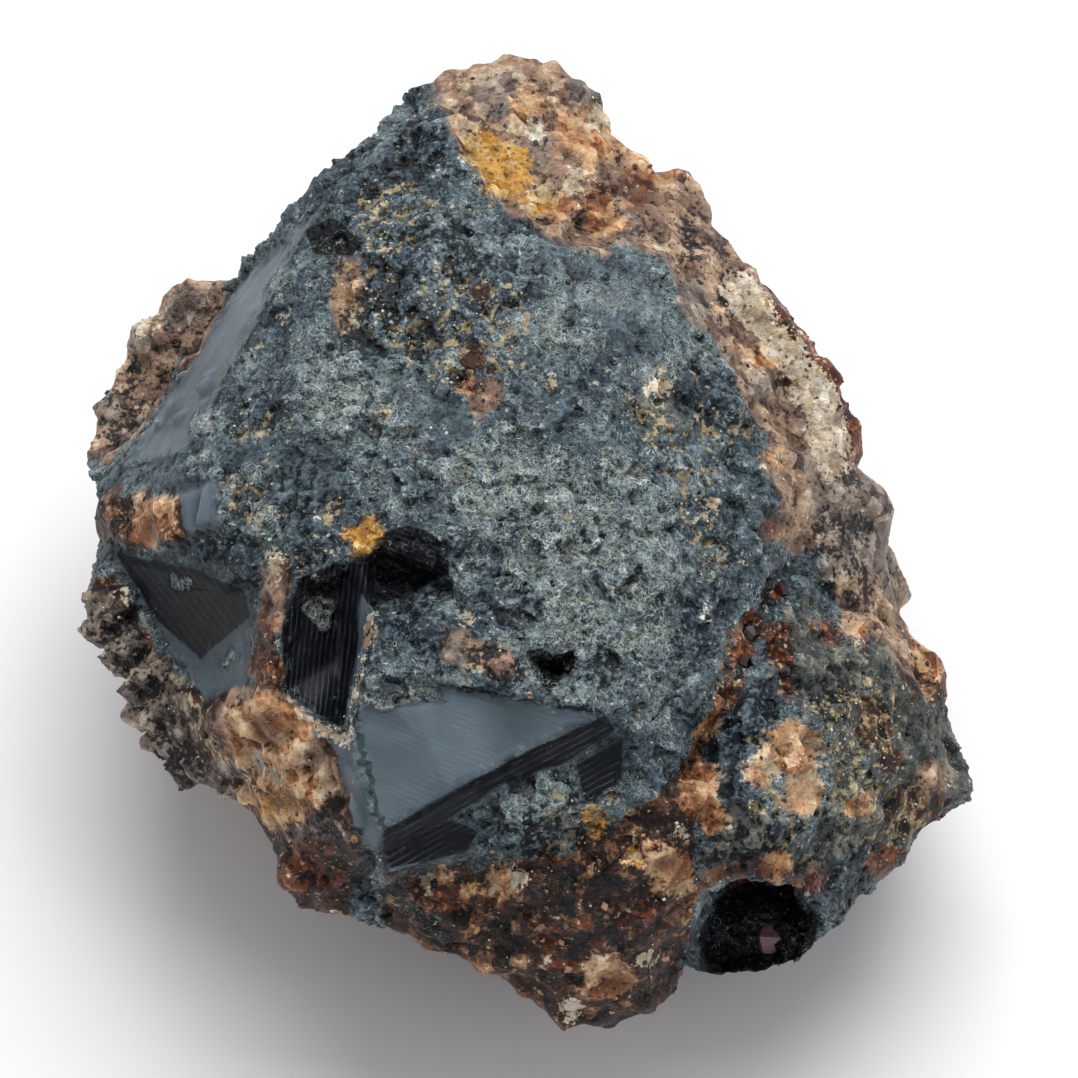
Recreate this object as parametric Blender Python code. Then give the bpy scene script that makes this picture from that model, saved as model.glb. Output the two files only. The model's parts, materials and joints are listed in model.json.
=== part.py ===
"""Garnet crystal cluster: a hand-sized stone of dark garnet grown through brown matrix, as one solid.

It lies on its back on one broken flat, so that its main face looks up and forward.
Run with: blender --background --python part.py
"""

import math
import random

import bmesh
import bpy
from mathutils import Matrix, Vector, noise
from mathutils.bvhtree import BVHTree
from mathutils.geometry import delaunay_2d_cdt

# Driving sizes, in millimetres. The main face is described in its own frame: (across, up, out).
MM = 0.001
LEAN = math.radians(60)
FACE_HEIGHT = 31.0
SIGHT = 450.0
BASE_CENTRE = (2.0, 4.0)
BASE_SINK = 1.5
BELT_SHARE = 0.5
BELT_BULGE = 9.0
BELT_MARGIN = 0.94
BELT_HEIGHT = 17.0

SOLID_TRIANGLES = 9400
SKIN_STEP = 0.5
FACE_LIMIT = 12.0

# The broken flat that the stone lies on, seen from above: (x, y), anticlockwise.
BASE_OUTLINE = [
    (-11, -1), (-7, -6), (1, -9), (9, -8.5), (15, -5), (18, 1), (17, 9), (12, 17), (1, 20), (-8, 17),
    (-14, 9),
]

# Broken faces of the hidden sides, each as the way that it looks: (degrees seen from above, degrees up).
BROKEN_FACES = [(92, -28), (135, -38), (48, -36), (5, -24), (182, -30), (215, -40), (325, -42), (70, -55),
                (265, -38)]

# The stone's rim where its face turns away, clockwise from the top: (across, up, out).
RIM = [
    (-1.1, 32.7, -13), (1.3, 32.5, -13), (2.8, 31.7, -13), (3.7, 30.7, -13), (5.4, 29.8, -13),
    (6.1, 27.7, -12), (8.8, 25.1, -12), (11.9, 21.5, -11), (14.9, 18.5, -11), (17.2, 16.0, -11),
    (19.0, 13.7, -10), (20.6, 10.8, -10), (21.9, 9.2, -10), (22.2, 7.3, -9), (22.0, 5.3, -9),
    (23.1, 4.5, -9), (24.4, 3.5, -10), (25.0, 2.1, -10), (24.4, 1.0, -9), (23.9, 0.5, -9),
    (24.2, -0.7, -9), (24.6, -2.3, -9), (24.3, -3.7, -8), (25.1, -4.7, -9), (26.7, -6.1, -10),
    (27.9, -7.5, -10), (28.3, -8.9, -10), (28.5, -11.7, -10), (29.0, -13.3, -10), (30.3, -16.3, -9),
    (30.0, -17.4, -9), (28.3, -18.2, -8), (26.7, -20.0, -8), (24.7, -22.3, -7), (22.0, -24.8, -6),
    (20.7, -25.9, -6), (18.7, -28.0, -6), (16.5, -28.9, -6), (12.1, -28.9, -5), (11.3, -26.9, -2),
    (10.8, -28.7, -1), (9.7, -30.8, -1), (8.9, -31.7, -1), (5.6, -32.3, -1), (4.0, -32.4, -1),
    (2.3, -31.5, 0), (-0.1, -30.3, 0), (-1.7, -29.3, 1), (-4.1, -27.8, 1), (-5.9, -27.4, 1),
    (-8.5, -26.1, 1), (-12.3, -25.0, 0), (-14.1, -24.5, -1), (-15.9, -22.3, -2), (-17.0, -19.9, -3),
    (-17.6, -18.2, -3), (-19.3, -16.9, -4), (-21.1, -16.3, -5), (-22.6, -15.0, -6), (-23.7, -13.5, -6),
    (-24.9, -11.5, -7), (-25.7, -10.1, -7), (-27.1, -8.1, -8), (-27.9, -6.7, -8), (-28.9, -5.3, -8),
    (-29.1, -4.3, -8), (-28.8, -2.6, -8), (-28.2, -0.3, -9), (-28.2, 3.8, -12), (-29.1, 5.3, -16),
    (-28.1, 8.7, -18), (-26.3, 12.5, -18), (-24.8, 14.1, -18), (-24.1, 16.3, -18), (-22.7, 17.3, -18),
    (-19.0, 17.7, -17), (-18.7, 18.5, -15), (-17.3, 20.0, -12), (-15.7, 21.9, -11), (-12.5, 25.2, -11),
    (-9.5, 27.5, -11), (-8.2, 29.3, -12), (-6.7, 30.5, -13), (-4.8, 31.4, -13), (-3.1, 31.7, -13),
]

# Edges and hollows of the face, each a line of corners that the relief keeps: (across, up, out).
BREAKLINES = {
    # Upper left: a smooth bevelled crystal side between the dark face and the lower back lobe.
    "bevel_ridge": [(-8.7, 27.3, -9), (-12, 23.7, -7), (-14.7, 20, -5), (-17.2, 15.3, -3.5),
                    (-19.7, 10.7, -2), (-21.7, 6.2, 0)],
    "bevel_foot": [(-17.6, 18.2, -12.5), (-19, 16, -12), (-21, 13, -11), (-23.7, 9, -10), (-27, 4.7, -9.5)],
    "back_lobe_top": [(-18.2, 17.7, -16), (-19.6, 16, -17), (-21.6, 13.2, -17), (-24.2, 9.2, -16.5),
                      (-27.5, 5.4, -15.5)],
    "back_lobe_crest": [(-21.3, 16, -16.5), (-24.7, 11.3, -17), (-27, 8, -17)],
    # The dark face stands over the brown cap and band by a curved, chipped step.
    "scoop_edge": [(-4.7, 27.3, -6.5), (-2.7, 24, -4.5), (-1.3, 22.5, -3.8), (1.3, 20.8, -3),
                   (3.7, 19.7, -2.5),
                   (7.3, 19.3, -3), (9.5, 18.8, -3.5), (11.3, 16, -3), (13, 13.3, -2.5), (14.7, 10, -2),
                   (16.3, 6.7, -1.5), (17.5, 2.7, -1), (17.3, -0.9, 0)],
    "scoop_foot": [(-4.1, 27.9, -8), (-2.2, 24.6, -6.6), (-0.9, 23.2, -6), (1.7, 21.6, -5.3),
                   (3.9, 20.4, -5),
                   (7.5, 20, -5.4), (10, 19.5, -5.8), (11.9, 16.4, -5.2), (13.6, 13.7, -4.6),
                   (15.3, 10.3, -4),
                   (17, 6.9, -3.4), (18.2, 2.7, -3), (18.3, -1, -2.4)],
    "cap_crest": [(-6.3, 29, -11), (-1.3, 30, -10.5), (2.7, 28.7, -10.5), (4.7, 25.3, -9), (7.3, 22.7, -9),
                  (10.7, 20.2, -8)],
    "cap_middle": [(0, 26, -7.6), (2.7, 23.4, -6.8)],
    # Right band: a trough with a pale streak, and a dark raised rim beside it.
    "band_rim": [(15.4, 17.2, -9), (18, 14, -8), (20, 10.3, -7.5), (21.2, 7.3, -7)],
    "band_trough": [(14.6, 16.2, -8), (17, 12, -7.4), (19, 8, -6.8), (20.3, 5, -6)],
    "band_shoulder": [(16, 9.3, -4.6), (18, 6, -4)],
    "knob_ridge": [(20, 1.3, -4.6), (22, 2.7, -6), (23.3, 2.5, -7)],
    "lower_knob": [(20.7, -3.3, -4.5), (22, -1.3, -5.6), (23, -2.3, -6.4)],
    # The brown seam between the dark face and the right lobe.
    "seam_left_lip": [(16.1, -3.1, 2.5), (14.4, -6.3, 5), (12.4, -10.3, 7.5), (10.5, -14.7, 8.5)],
    "seam_bottom": [(17.5, -2.4, -1), (16.7, -4.2, 0.8), (15.3, -6.9, 2.8), (13.4, -10.8, 5),
                    (11.6, -15.3, 5.6)],
    "seam_right_lip": [(18.6, -3.8, 0.4), (18, -5, 1.6), (16.6, -7.7, 4), (14.8, -11.5, 6.3), (13, -16, 7)],
    # Right lobe.
    "lobe_crest": [(20.7, -7.3, 0), (22, -12, 1), (22.7, -17.3, 1)],
    "lobe_front": [(18.7, -13.3, 5), (18.7, -18, 5.2), (15.6, -19.6, 6.2), (13.3, -19.3, 6.4)],
    "lobe_outer": [(24.7, -8, -4), (27, -10.7, -6), (27.4, -14.7, -5), (28, -16.2, -5)],
    "lobe_low": [(25.3, -14.7, -2), (24, -20, -2.4), (21.3, -23, -2)],
    "arch_edge": [(11.7, -25.4, 4), (12.4, -23.6, 5), (14.9, -22.5, 5), (18, -22.9, 3.4),
                  (20.2, -24.2, 0.5)],
    "arch_inside": [(12.1, -26.4, -5), (12.8, -24.3, -6), (15, -23.2, -7), (17.8, -23.6, -7),
                    (19.6, -24.8, -6)],
    "hollow_floor": [(13.2, -27.6, -7.5), (16.6, -27.4, -7.5)],
    # Main dark face: slightly convex, drusy.
    "face_crown": [(-4.7, 21.8, -3), (-1.5, 17.5, 0.4), (0.5, 12.5, 3), (5.3, 6, 6.8), (9.3, 1.3, 6.8),
                   (12, -4, 6.2)],
    "face_shelf": [(-8, 16, 0), (-6, 7.3, 6), (-1.3, 1.3, 9.5), (2.7, -3.3, 11.3)],
    "face_left": [(-14.7, 14, -1), (-16.7, 8, 2.5), (-11.3, 4.4, 6.6)],
    "face_right": [(6.7, 14, 1), (10.5, 8.6, 2.2), (13.6, 2.6, 3)],
    "face_low": [(7.6, -3.6, 9.6), (8.2, -8, 10.4), (7.4, -11, 11.2)],
    # Upper drusy patch: a broken hollow with small ledges.
    "druse_ledge": [(-10.4, 18.6, -2.2), (-6.6, 17.9, -0.4), (-4.4, 18.2, -0.9)],
    "druse_pit": [(-7.0, 13.3, 0.6), (-5, 13, 1.4), (-3, 12.3, 1.8)],
    # Overhang with a shadow beneath it.
    "overhang_lip": [(-9.3, -0.4, 10), (-7, -1.3, 10.2), (-4.7, -2, 10.6)],
    "overhang_top": [(-8.9, 0.5, 10.8), (-7.3, 1.1, 11.4), (-5.1, 0.1, 11.7)],
    "overhang_floor": [(-9.1, -2.6, 7.6), (-6.6, -3.4, 8.6)],
    "overhang_foot": [(-9.2, -1, 7.2), (-6.9, -2.2, 7.4), (-5, -2.8, 8.4)],
    "druse_triangle": [(-6.7, -5.3, 11.4), (-8, -8, 11.4), (-3.2, -5.2, 11.9)],
    # The triangular hole.
    "hole_rim": [(0.4, -7.7, 12.2), (3.7, -7.2, 11.5), (3.9, -9.3, 11.8), (1.8, -10.1, 12.6),
                 (0.4, -7.7, 12.2)],
    "hole_bottom": [(1.6, -8.2, 8.4), (3, -8.3, 8), (2.2, -9.2, 8.4)],
    # Smooth slate facet with a low ledge over it.
    "ledge_over_facet": [(-8.7, -8.8, 12.1), (-4.3, -9.3, 12.9), (-1.3, -9.9, 13), (1, -10.4, 13)],
    "slate_facet": [(-10.4, -10.4, 11.1), (-8.6, -9.5, 11.5), (-4.5, -9.9, 11.9), (1.1, -10.9, 12.4),
                    (5.4, -11.8, 12.8), (0, -14.1, 11.8), (-4.7, -16.8, 10.8), (-9.3, -19.3, 9.8),
                    (-10.5, -16.5, 10.1), (-11.2, -13.6, 10.5), (-10.4, -10.4, 11.1)],
    # Two striated steps below the facet, rising to the right.
    "upper_step_foot": [(-9, -20.6, 7.4), (-4.7, -18.9, 8.2), (0, -16.8, 9.1), (3.3, -15.2, 9.7),
                        (7, -13.3, 10.2)],
    "lower_step_edge": [(-8.6, -21.9, 7.1), (-3.3, -20.5, 8.3), (2.7, -18.6, 9.2), (6, -16.6, 9.8)],
    "lower_step_foot": [(-8.2, -22.8, 5.4), (-3.2, -21.7, 6.2), (3, -20.3, 7.2), (6.2, -18.6, 8.2)],
    # Tongue along the bottom.
    "tongue_top": [(9.3, -17.3, 9.2), (8.7, -21, 8.6), (11, -22.3, 6.4)],
    "tongue_middle": [(-6, -25, 4.2), (-2.7, -23.8, 6), (2.7, -23.6, 7.6), (5.5, -26.5, 6.4),
                      (9.3, -26.7, 4.6)],
    "tongue_low": [(0, -28, 3.8), (4.7, -30.6, 2.6), (8, -30.2, 2.4)],
    # Lower left shoulder.
    "gap_under_steps": [(-10, -21.6, 6), (-11, -22.4, 2.8)],
    "shoulder_top": [(-13.3, -17.3, 7.5), (-12.6, -20.5, 6)],
    "shoulder_outer": [(-19.3, -15.1, 0), (-16, -16.7, 5), (-14.8, -20, 4.4), (-13.3, -23.2, 3)],
    "shoulder_left": [(-20.9, -12.7, 1), (-18.8, -11.8, 4.6), (-15.3, -13.3, 7.5)],
    # Wedge-shaped recess with upright walls, and the narrow pillar to its left.
    "recess_rim": [(-14.7, -2.6, 9.3), (-12.5, -1.5, 9.5), (-10.4, -1.6, 9.7), (-9.8, -5, 10),
                   (-10.5, -7.8, 10.4),
                   (-11.5, -12.9, 9.9), (-13.6, -11.7, 8.9), (-15.9, -10.2, 8.3), (-15.8, -6.1, 9.2),
                   (-14.7, -2.6, 9.3)],
    "recess_floor": [(-12.3, -2.7, 6.8), (-11.9, -7.7, 6.4), (-12.1, -11.6, 7.4)],
    "pillar_crest": [(-16.3, -1.5, 9.9), (-16.6, -4.5, 9.9), (-16.8, -10, 8.8)],
    "pillar_left": [(-17.1, -2.6, 7.2), (-17.5, -5, 6.2), (-17.9, -10, 5.5)],
    # Left facets: a steep smooth crystal face, and a paler one below it.
    "left_facet": [(-27, -0.6, -6.5), (-21.7, -2, -0.2), (-19.5, -3.7, 1.4), (-17.9, -3.2, 3.6),
                   (-17.9, -5, 3),
                   (-21.3, -7.9, -3), (-24.7, -4.7, -5.8), (-27, -0.6, -6.5)],
    "pale_facet": [(-18.1, -9.8, 4.4), (-21, -10.7, -0.8)],
    # Stepped blocks above the left facets.
    "blocks_edge": [(-27.4, 0.1, -5.4), (-22.4, -0.6, 1.4), (-21.3, -1.3, 3.4), (-19.5, -2.9, 4.6),
                    (-17.6, -1.8, 7)],
    "block_top": [(-27.6, 2.8, -6.8), (-23.4, 3.2, -0.2), (-22.9, 4.4, 1.2), (-20.5, 4.2, 3.2),
                  (-20.3, 1.5, 4.4)],
    "plates_edge": [(-19.6, 3.6, 2.8), (-15.3, 3, 6), (-14.9, 0.4, 8.2)],
    # Left rim under the facets.
    "rim_inner": [(-27.6, -2.4, -7), (-26.5, -4.4, -6.6), (-25, -7.2, -6), (-23.2, -10.6, -4.2),
                  (-22, -13.2, -3.6)],
}

# Smooth crystal faces, which the rough skin leaves alone: (across, up).
SMOOTH_FACES = {
    "slate": [(-11.8, -10.6), (-8.8, -9.4), (1.1, -10.8), (7.1, -12.4), (6.6, -14.6), (-8.6, -22),
              (-10, -19.4)],
    "recess": [(-15, -1.2), (-9.5, -1.1), (-10.6, -9.6), (-12, -14), (-15.2, -10.4)],
    "left": [(-27.2, -0.5), (-19.6, -3.2), (-17.6, -2.6), (-17.9, -10.2), (-21, -10.9), (-24.9, -4.8)],
    "bevel": [(-9.5, 26.9), (-12.2, 23.8), (-17.4, 15.2), (-21.7, 6.2), (-27.2, 3.2), (-26.8, 5),
              (-19, 16.2),
              (-16.6, 20)],
    "upper_dark": [(3, 19), (7.5, 18.6), (11, 15), (11, 12.4), (5.4, 12.6), (2.6, 15.6)],
}

# Plates that overlap like scales along the left rim: (across, up, out) of each centre, and its turn.
RIM_PLATES = [
    (-27.5, -3.2, -7.6, 60), (-27.6, -5.6, -7.2, 48), (-26.2, -7.6, -7.2, 42), (-25, -9.6, -6.6, 50),
    (-23.8, -11.6, -6, 46), (-22.6, -13.4, -5.4, 40), (-20.8, -14.9, -4.4, 30), (-18.9, -15.9, -3.2, 25),
]
PLATE_SIZE = (3.6, 2.6, 1.1)
PLATE_LEAN = math.radians(38)
PLATE_BEVEL = 0.7

# A block's foot is wider than its top, and sunk in the face.
BLOCK_FOOT = 1.15
BLOCK_TOP = 0.84
BLOCK_SUNK = 1.2


# Blocks and ledges that stand out of the face: middle, length, width, how far they stand out, turn and tilt.
LEDGE_BLOCKS = [
    (-21.7, 2.3, 2.7, 3.4, 0.9, 0, 4), (-24.9, 1.5, 5.2, 3.0, 0.5, 10, -6),
    (-15.4, 1.1, 1.5, 4.2, 1.0, -8, 8),
    (-13, 0.8, 3.3, 2.5, 0.9, -5, -7), (-13.2, -1.3, 4.0, 1.3, 0.6, 30, 10),
    (-19, 1.3, 3.8, 2.4, 0.7, -20, 12),
    (-18, 6, 4.2, 2.8, 0.6, 35, -8), (-17, 9.2, 3.0, 2.0, 0.5, -50, 8), (-2.8, -7.7, 4.8, 3.4, 0.4, -12, 5),
    (-9.3, 18, 3.8, 1.7, 0.6, 5, 12), (-12.2, 13.2, 2.4, 3.6, 0.5, 12, -8),
    (-7.6, 20.4, 2.6, 1.9, 0.7, -25, 10),
    (-9.4, 8.6, 3.2, 1.8, 0.5, -38, 9), (-4.2, 6.4, 3.4, 1.5, 0.35, 14, -10),
    (3.6, 2.2, 3.4, 1.6, 0.35, -20, 9),
    (11.6, 8.6, 2.2, 1.7, 0.6, 40, -9), (13.6, 3.8, 2.4, 1.8, 0.6, -15, 10),
    (10.2, -2.6, 2.8, 1.9, 0.5, 25, 8),
    (0.2, -19.2, 2.9, 2.3, 1.1, 20, -8), (2.2, -17.9, 2.4, 2.0, 1.0, -30, 10),
    (-0.8, -21.1, 2.2, 1.8, 0.9, 50, 6),
    (13.2, -12.4, 2.4, 2.0, 0.8, 15, 10), (19.4, -8.2, 3.0, 2.2, 0.7, -35, -10),
    (23.6, -12.8, 3.2, 2.4, 0.8, 30, 12),
    (17.6, -21, 2.8, 2.0, 0.8, -12, -10), (6.4, -24.4, 3.0, 2.2, 0.7, 25, 8),
    (1.6, -25.6, 2.8, 2.0, 0.7, -30, -9),
]
# Garnets that stand out as blocky lumps: (across, up, out) of the centre and half width.
BIG_GARNETS = [
    (22.4, 2.3, -9.4, 2.5), (22.6, -1.8, -8.9, 2.2), (20.9, 4.8, -8.6, 1.9), (24.5, -6.9, -9.8, 2.6),
    (26.3, -11.6, -8.6, 2.4), (27.2, -16.4, -8, 2.3), (24.2, -20.2, -6.2, 2.5), (20.9, -15.4, 0, 2.4),
    (16.3, -15.6, 4.2, 2.0), (19.7, -9.6, -0.2, 2.2), (6.4, -29.6, 1.2, 2.0), (9.2, -24.6, 3.6, 2.0),
    (-14.6, -22, 1.4, 2.0), (-17.8, -14.6, 1, 2.0), (3.4, 29.6, -12, 1.9), (20.1, 11, -9, 1.8),
    (-24.6, 13.4, -18, 2.2), (-26.4, 8.4, -18, 2.4), (-21.6, 16.2, -17.6, 1.8), (-2.6, -21.3, 5.2, 1.5),
    (-0.4, -19.4, 7.6, 1.3), (1.4, -17.9, 8.3, 1.2), (5.3, -16.6, 8.6, 1.3),
]

# Patches of the face where small garnets crowd: (across, up, radius, how many, largest half width).
CROWDED = [
    (2.5, 28, 5, 16, 0.9), (8, 22.6, 4, 12, 0.9), (17.5, 11.5, 4, 12, 0.9), (19.5, 4.5, 3.6, 10, 1.0),
    (-4.2, 14, 5, 26, 1.15), (-8.6, 20.6, 3.4, 9, 1.2), (22, -2, 3, 8, 1.1), (23, -10, 4.6, 14, 1.2),
    (18, -16, 5, 18, 1.1),
    (24, -17, 4, 12, 1.2), (12.6, -19, 3, 8, 0.9), (7, -23.5, 5, 20, 1.0), (3, -27, 5, 18, 1.0),
    (-4, -25.5, 4, 12, 0.8), (-13.6, -21, 3, 10, 0.9), (-18, -13.6, 3, 9, 0.9), (14.6, -7, 1.8, 6, 0.8),
    (2, -17.2, 2.2, 8, 0.7), (-25, 11.5, 3.6, 10, 1.1),
]
UNDERSIDE_GARNETS = 46
UNDERSIDE_SIZES = (2.6, 5.4)
UNDERSIDE_DEPTH = 0.5

# The dark hollow at the lower right: its mouth, and the smaller end that it runs in to. (across, up, out)
HOLLOW_MOUTH = [(12.3, -26.4, 5), (13, -24.6, 5), (15, -23.6, 5), (17.8, -24, 5), (19.3, -25.4, 4),
                (18.6, -27.8, -5.5), (13.2, -28, -5)]
HOLLOW_END = [(13, -16.5, -6), (18, -16.5, -6.5), (18.2, -21, -10), (13, -21, -9.5)]
GARNET_SEED = 7
GARNET_SUNK = 0.35

# How the skin is broken: the dark face's bounds (left, right, low, high), and on it and elsewhere
# (lump width, lump height, grain width, grain height).
DARK_FACE = (-20, 15, -12, 22)
DRUSE_RELIEF = (3.4, 0.15, 1.6, 0.16)
MATRIX_RELIEF = (3.4, 0.55, 2.1, 0.24)
MIDDLE_OF_GRAIN = 0.4


def to_world(across, up, out):
    """A point of the face frame, in world millimetres. Points further back spread, as sight lines do."""
    spread = 1 - out / SIGHT
    up *= spread
    return Vector((
        across * spread,
        up * math.sin(LEAN) - out * math.cos(LEAN),
        up * math.cos(LEAN) + out * math.sin(LEAN) + FACE_HEIGHT,
    ))


def to_face(point):
    """The (across, up, out) of a world point in millimetres."""
    height = point.z - FACE_HEIGHT
    out = height * math.sin(LEAN) - point.y * math.cos(LEAN)
    up = height * math.cos(LEAN) + point.y * math.sin(LEAN)
    spread = 1 - out / SIGHT
    return point.x / spread, up / spread, out


def inside(outline, across, up):
    """Whether a point of the face lies in an outline."""
    found = False
    for (x0, y0), (x1, y1) in zip(outline, outline[1:] + outline[:1]):
        if (y0 > up) != (y1 > up) and across < (x1 - x0) * (up - y0) / (y1 - y0) + x0:
            found = not found
    return found


def base_corner(direction):
    """Where the base outline is met from its centre, in a direction seen from above."""
    centre = Vector(BASE_CENTRE)
    reach = 100 * Vector(direction).normalized()
    for start, end in zip(BASE_OUTLINE, BASE_OUTLINE[1:] + BASE_OUTLINE[:1]):
        start, side = Vector(start) - centre, Vector(end) - Vector(start)
        turn = reach.x * side.y - reach.y * side.x
        along = (start.x * side.y - start.y * side.x) / turn if turn else -1
        share = (start.x * reach.y - start.y * reach.x) / turn if turn else -1
        if along > 0 and 0 <= share <= 1:
            return centre + along * reach
    raise ValueError("the base outline isn't closed round its centre")


def relief():
    """The face as a net of flat triangles through the rim and every breakline: points and faces."""
    points, edges, places = [], [], {}

    def corner(point):
        key = (round(point[0], 3), round(point[1], 3))
        if key not in places:
            places[key] = len(points)
            points.append(point)
        return places[key]

    rim = [corner(p) for p in RIM]
    edges += list(zip(rim, rim[1:] + rim[:1]))
    for line in BREAKLINES.values():
        ends = [corner(p) for p in line]
        edges += list(zip(ends, ends[1:]))
    flat = [Vector(p[:2]) for p in points]
    found, _, faces, origins, _, _ = delaunay_2d_cdt(flat, edges, [], 1, 1e-4)
    if any(len(o) != 1 for o in origins):
        crossing = [tuple(round(c, 2) for c in p) for p, o in zip(found, origins) if len(o) != 1]
        raise ValueError(f"breaklines cross or meet at {crossing}")
    order = [o[0] for o in origins]
    return [points[i] for i in order], faces, [order.index(i) for i in rim]


def belt_bulge(middle, outward):
    """How far the hidden belt swells at a place, so that it stays behind the rim as the face is seen."""
    outline = [(across * BELT_MARGIN, up * BELT_MARGIN) for across, up, _ in RIM]
    reach = BELT_BULGE * (0.75 + 0.6 * noise.noise(middle / 14))
    while reach > 0:
        across, up, _ = to_face(middle + reach * outward)
        if inside(outline, across, up):
            return reach * outward
        reach -= 0.5
    return Vector()


def break_off(mesh, turn, rise, corners):
    """Breaks the hidden side flat, by a plane that looks this way and just clears the rim and the base."""
    turn, rise = math.radians(turn), math.radians(rise)
    way = Vector((math.cos(turn) * math.cos(rise), math.sin(turn) * math.cos(rise), math.sin(rise)))
    reach = max(corner.dot(way) for corner in corners) + 0.2
    whole = mesh.verts[:] + mesh.edges[:] + mesh.faces[:]
    cut = bmesh.ops.bisect_plane(
        mesh, geom=whole, dist=1e-4, plane_co=way * reach, plane_no=way, clear_outer=True
    )
    rim = [e for e in cut["geom_cut"] if isinstance(e, bmesh.types.BMEdge)]
    if rim:
        bmesh.ops.holes_fill(mesh, edges=rim, sides=0)
        bmesh.ops.triangulate(mesh, faces=mesh.faces[:])
        bmesh.ops.recalc_face_normals(mesh, faces=mesh.faces[:])


def stone_body():
    """The whole stone as flat facets: its relief in front, and sides that run in to the base."""
    points, faces, rim = relief()
    mesh = bmesh.new()
    front = [mesh.verts.new(to_world(*p)) for p in points]
    for face in faces:
        mesh.faces.new([front[i] for i in face])
    edge = [front[i] for i in rim]
    corners = [vert.co.copy() for vert in edge] + [Vector((x, y, 0)) for x, y in BASE_OUTLINE]
    belt, base = [], []
    for vert in edge:
        outward = Vector((vert.co.x - BASE_CENTRE[0], vert.co.y - BASE_CENTRE[1]))
        foot = base_corner(outward)
        middle = vert.co.lerp(Vector((foot.x, foot.y, -BASE_SINK)), BELT_SHARE)
        belt.append(mesh.verts.new(middle + belt_bulge(middle, outward.normalized().to_3d())))
        base.append(mesh.verts.new((foot.x, foot.y, -BASE_SINK)))
    for upper, lower in ((edge, belt), (belt, base)):
        for i in range(len(edge)):
            after = (i + 1) % len(edge)
            mesh.faces.new((upper[i], upper[after], lower[after]))
            mesh.faces.new((upper[i], lower[after], lower[i]))
    mesh.faces.new(base)
    bmesh.ops.triangulate(mesh, faces=mesh.faces[:])
    bmesh.ops.recalc_face_normals(mesh, faces=mesh.faces[:])
    for turn, rise in BROKEN_FACES:
        break_off(mesh, turn, rise, corners)
    return mesh


def add_hull(mesh, corners):
    """Adds the convex solid round these corners to a mesh."""
    verts = [mesh.verts.new(c) for c in corners]
    hull = bmesh.ops.convex_hull(mesh, input=verts)
    spare = [e for e in hull["geom_interior"] if isinstance(e, bmesh.types.BMVert)]
    bmesh.ops.delete(mesh, geom=spare, context="VERTS")


def add_garnet(mesh, centre, half_width, draw):
    """A garnet crystal: a rhombic dodecahedron, turned at random and a little flattened."""
    axis = Vector((draw.gauss(0, 1), draw.gauss(0, 1), draw.gauss(0, 1)))
    turn = Matrix.Rotation(draw.uniform(0, math.tau), 3, axis)
    stretch = [draw.uniform(0.85, 1.1) * half_width / 2 for _ in range(3)]
    corners = [Vector((x, y, z)) for x in (-1, 1) for y in (-1, 1) for z in (-1, 1)]
    corners += [
        Vector([2 * side if k == way else 0 for k in range(3)])
        for way in range(3) for side in (-1, 1)
    ]
    add_hull(mesh, [centre + turn @ Vector([c * s for c, s in zip(corner, stretch)]) for corner in corners])


def slab_corners(long, wide, layers):
    """Corners of a slab with a rectangle at each layer, given as (share of the full size, height)."""
    return [
        Vector((side_x * share * long / 2, side_y * share * wide / 2, height))
        for share, height in layers for side_x in (-1, 1) for side_y in (-1, 1)
    ]


def add_plate(mesh, across, up, out, degrees):
    """One scale of the left rim: a bevelled slab that leans outwards."""
    long, wide, thick = PLATE_SIZE
    turn = Matrix.Rotation(math.pi / 2 - LEAN, 3, "X") @ Matrix.Rotation(math.radians(degrees), 3, "Z")
    turn = turn @ Matrix.Rotation(PLATE_LEAN, 3, "X")
    corners = slab_corners(long, wide, ((1, -thick / 2), (PLATE_BEVEL, thick / 2)))
    add_hull(mesh, [to_world(across, up, out) + turn @ c for c in corners])


def add_block(mesh, surface, across, up, long, wide, stand, degrees, tilt):
    """One block or ledge of the face: flat-topped, with its foot sunk square to the surface there."""
    sight = to_world(0, 0, 0) - to_world(0, 0, 1)
    point, normal, _, _ = surface.ray_cast(to_world(across, up, 40), sight)
    follow = (-sight).rotation_difference(normal).to_matrix()
    turn = Matrix.Rotation(math.pi / 2 - LEAN, 3, "X") @ Matrix.Rotation(math.radians(degrees), 3, "Z")
    turn = follow @ turn @ Matrix.Rotation(math.radians(tilt), 3, "X")
    corners = slab_corners(long, wide, ((BLOCK_FOOT, -BLOCK_SUNK), (1, 0.7 * stand), (BLOCK_TOP, stand)))
    add_hull(mesh, [point + turn @ c for c in corners])


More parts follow.
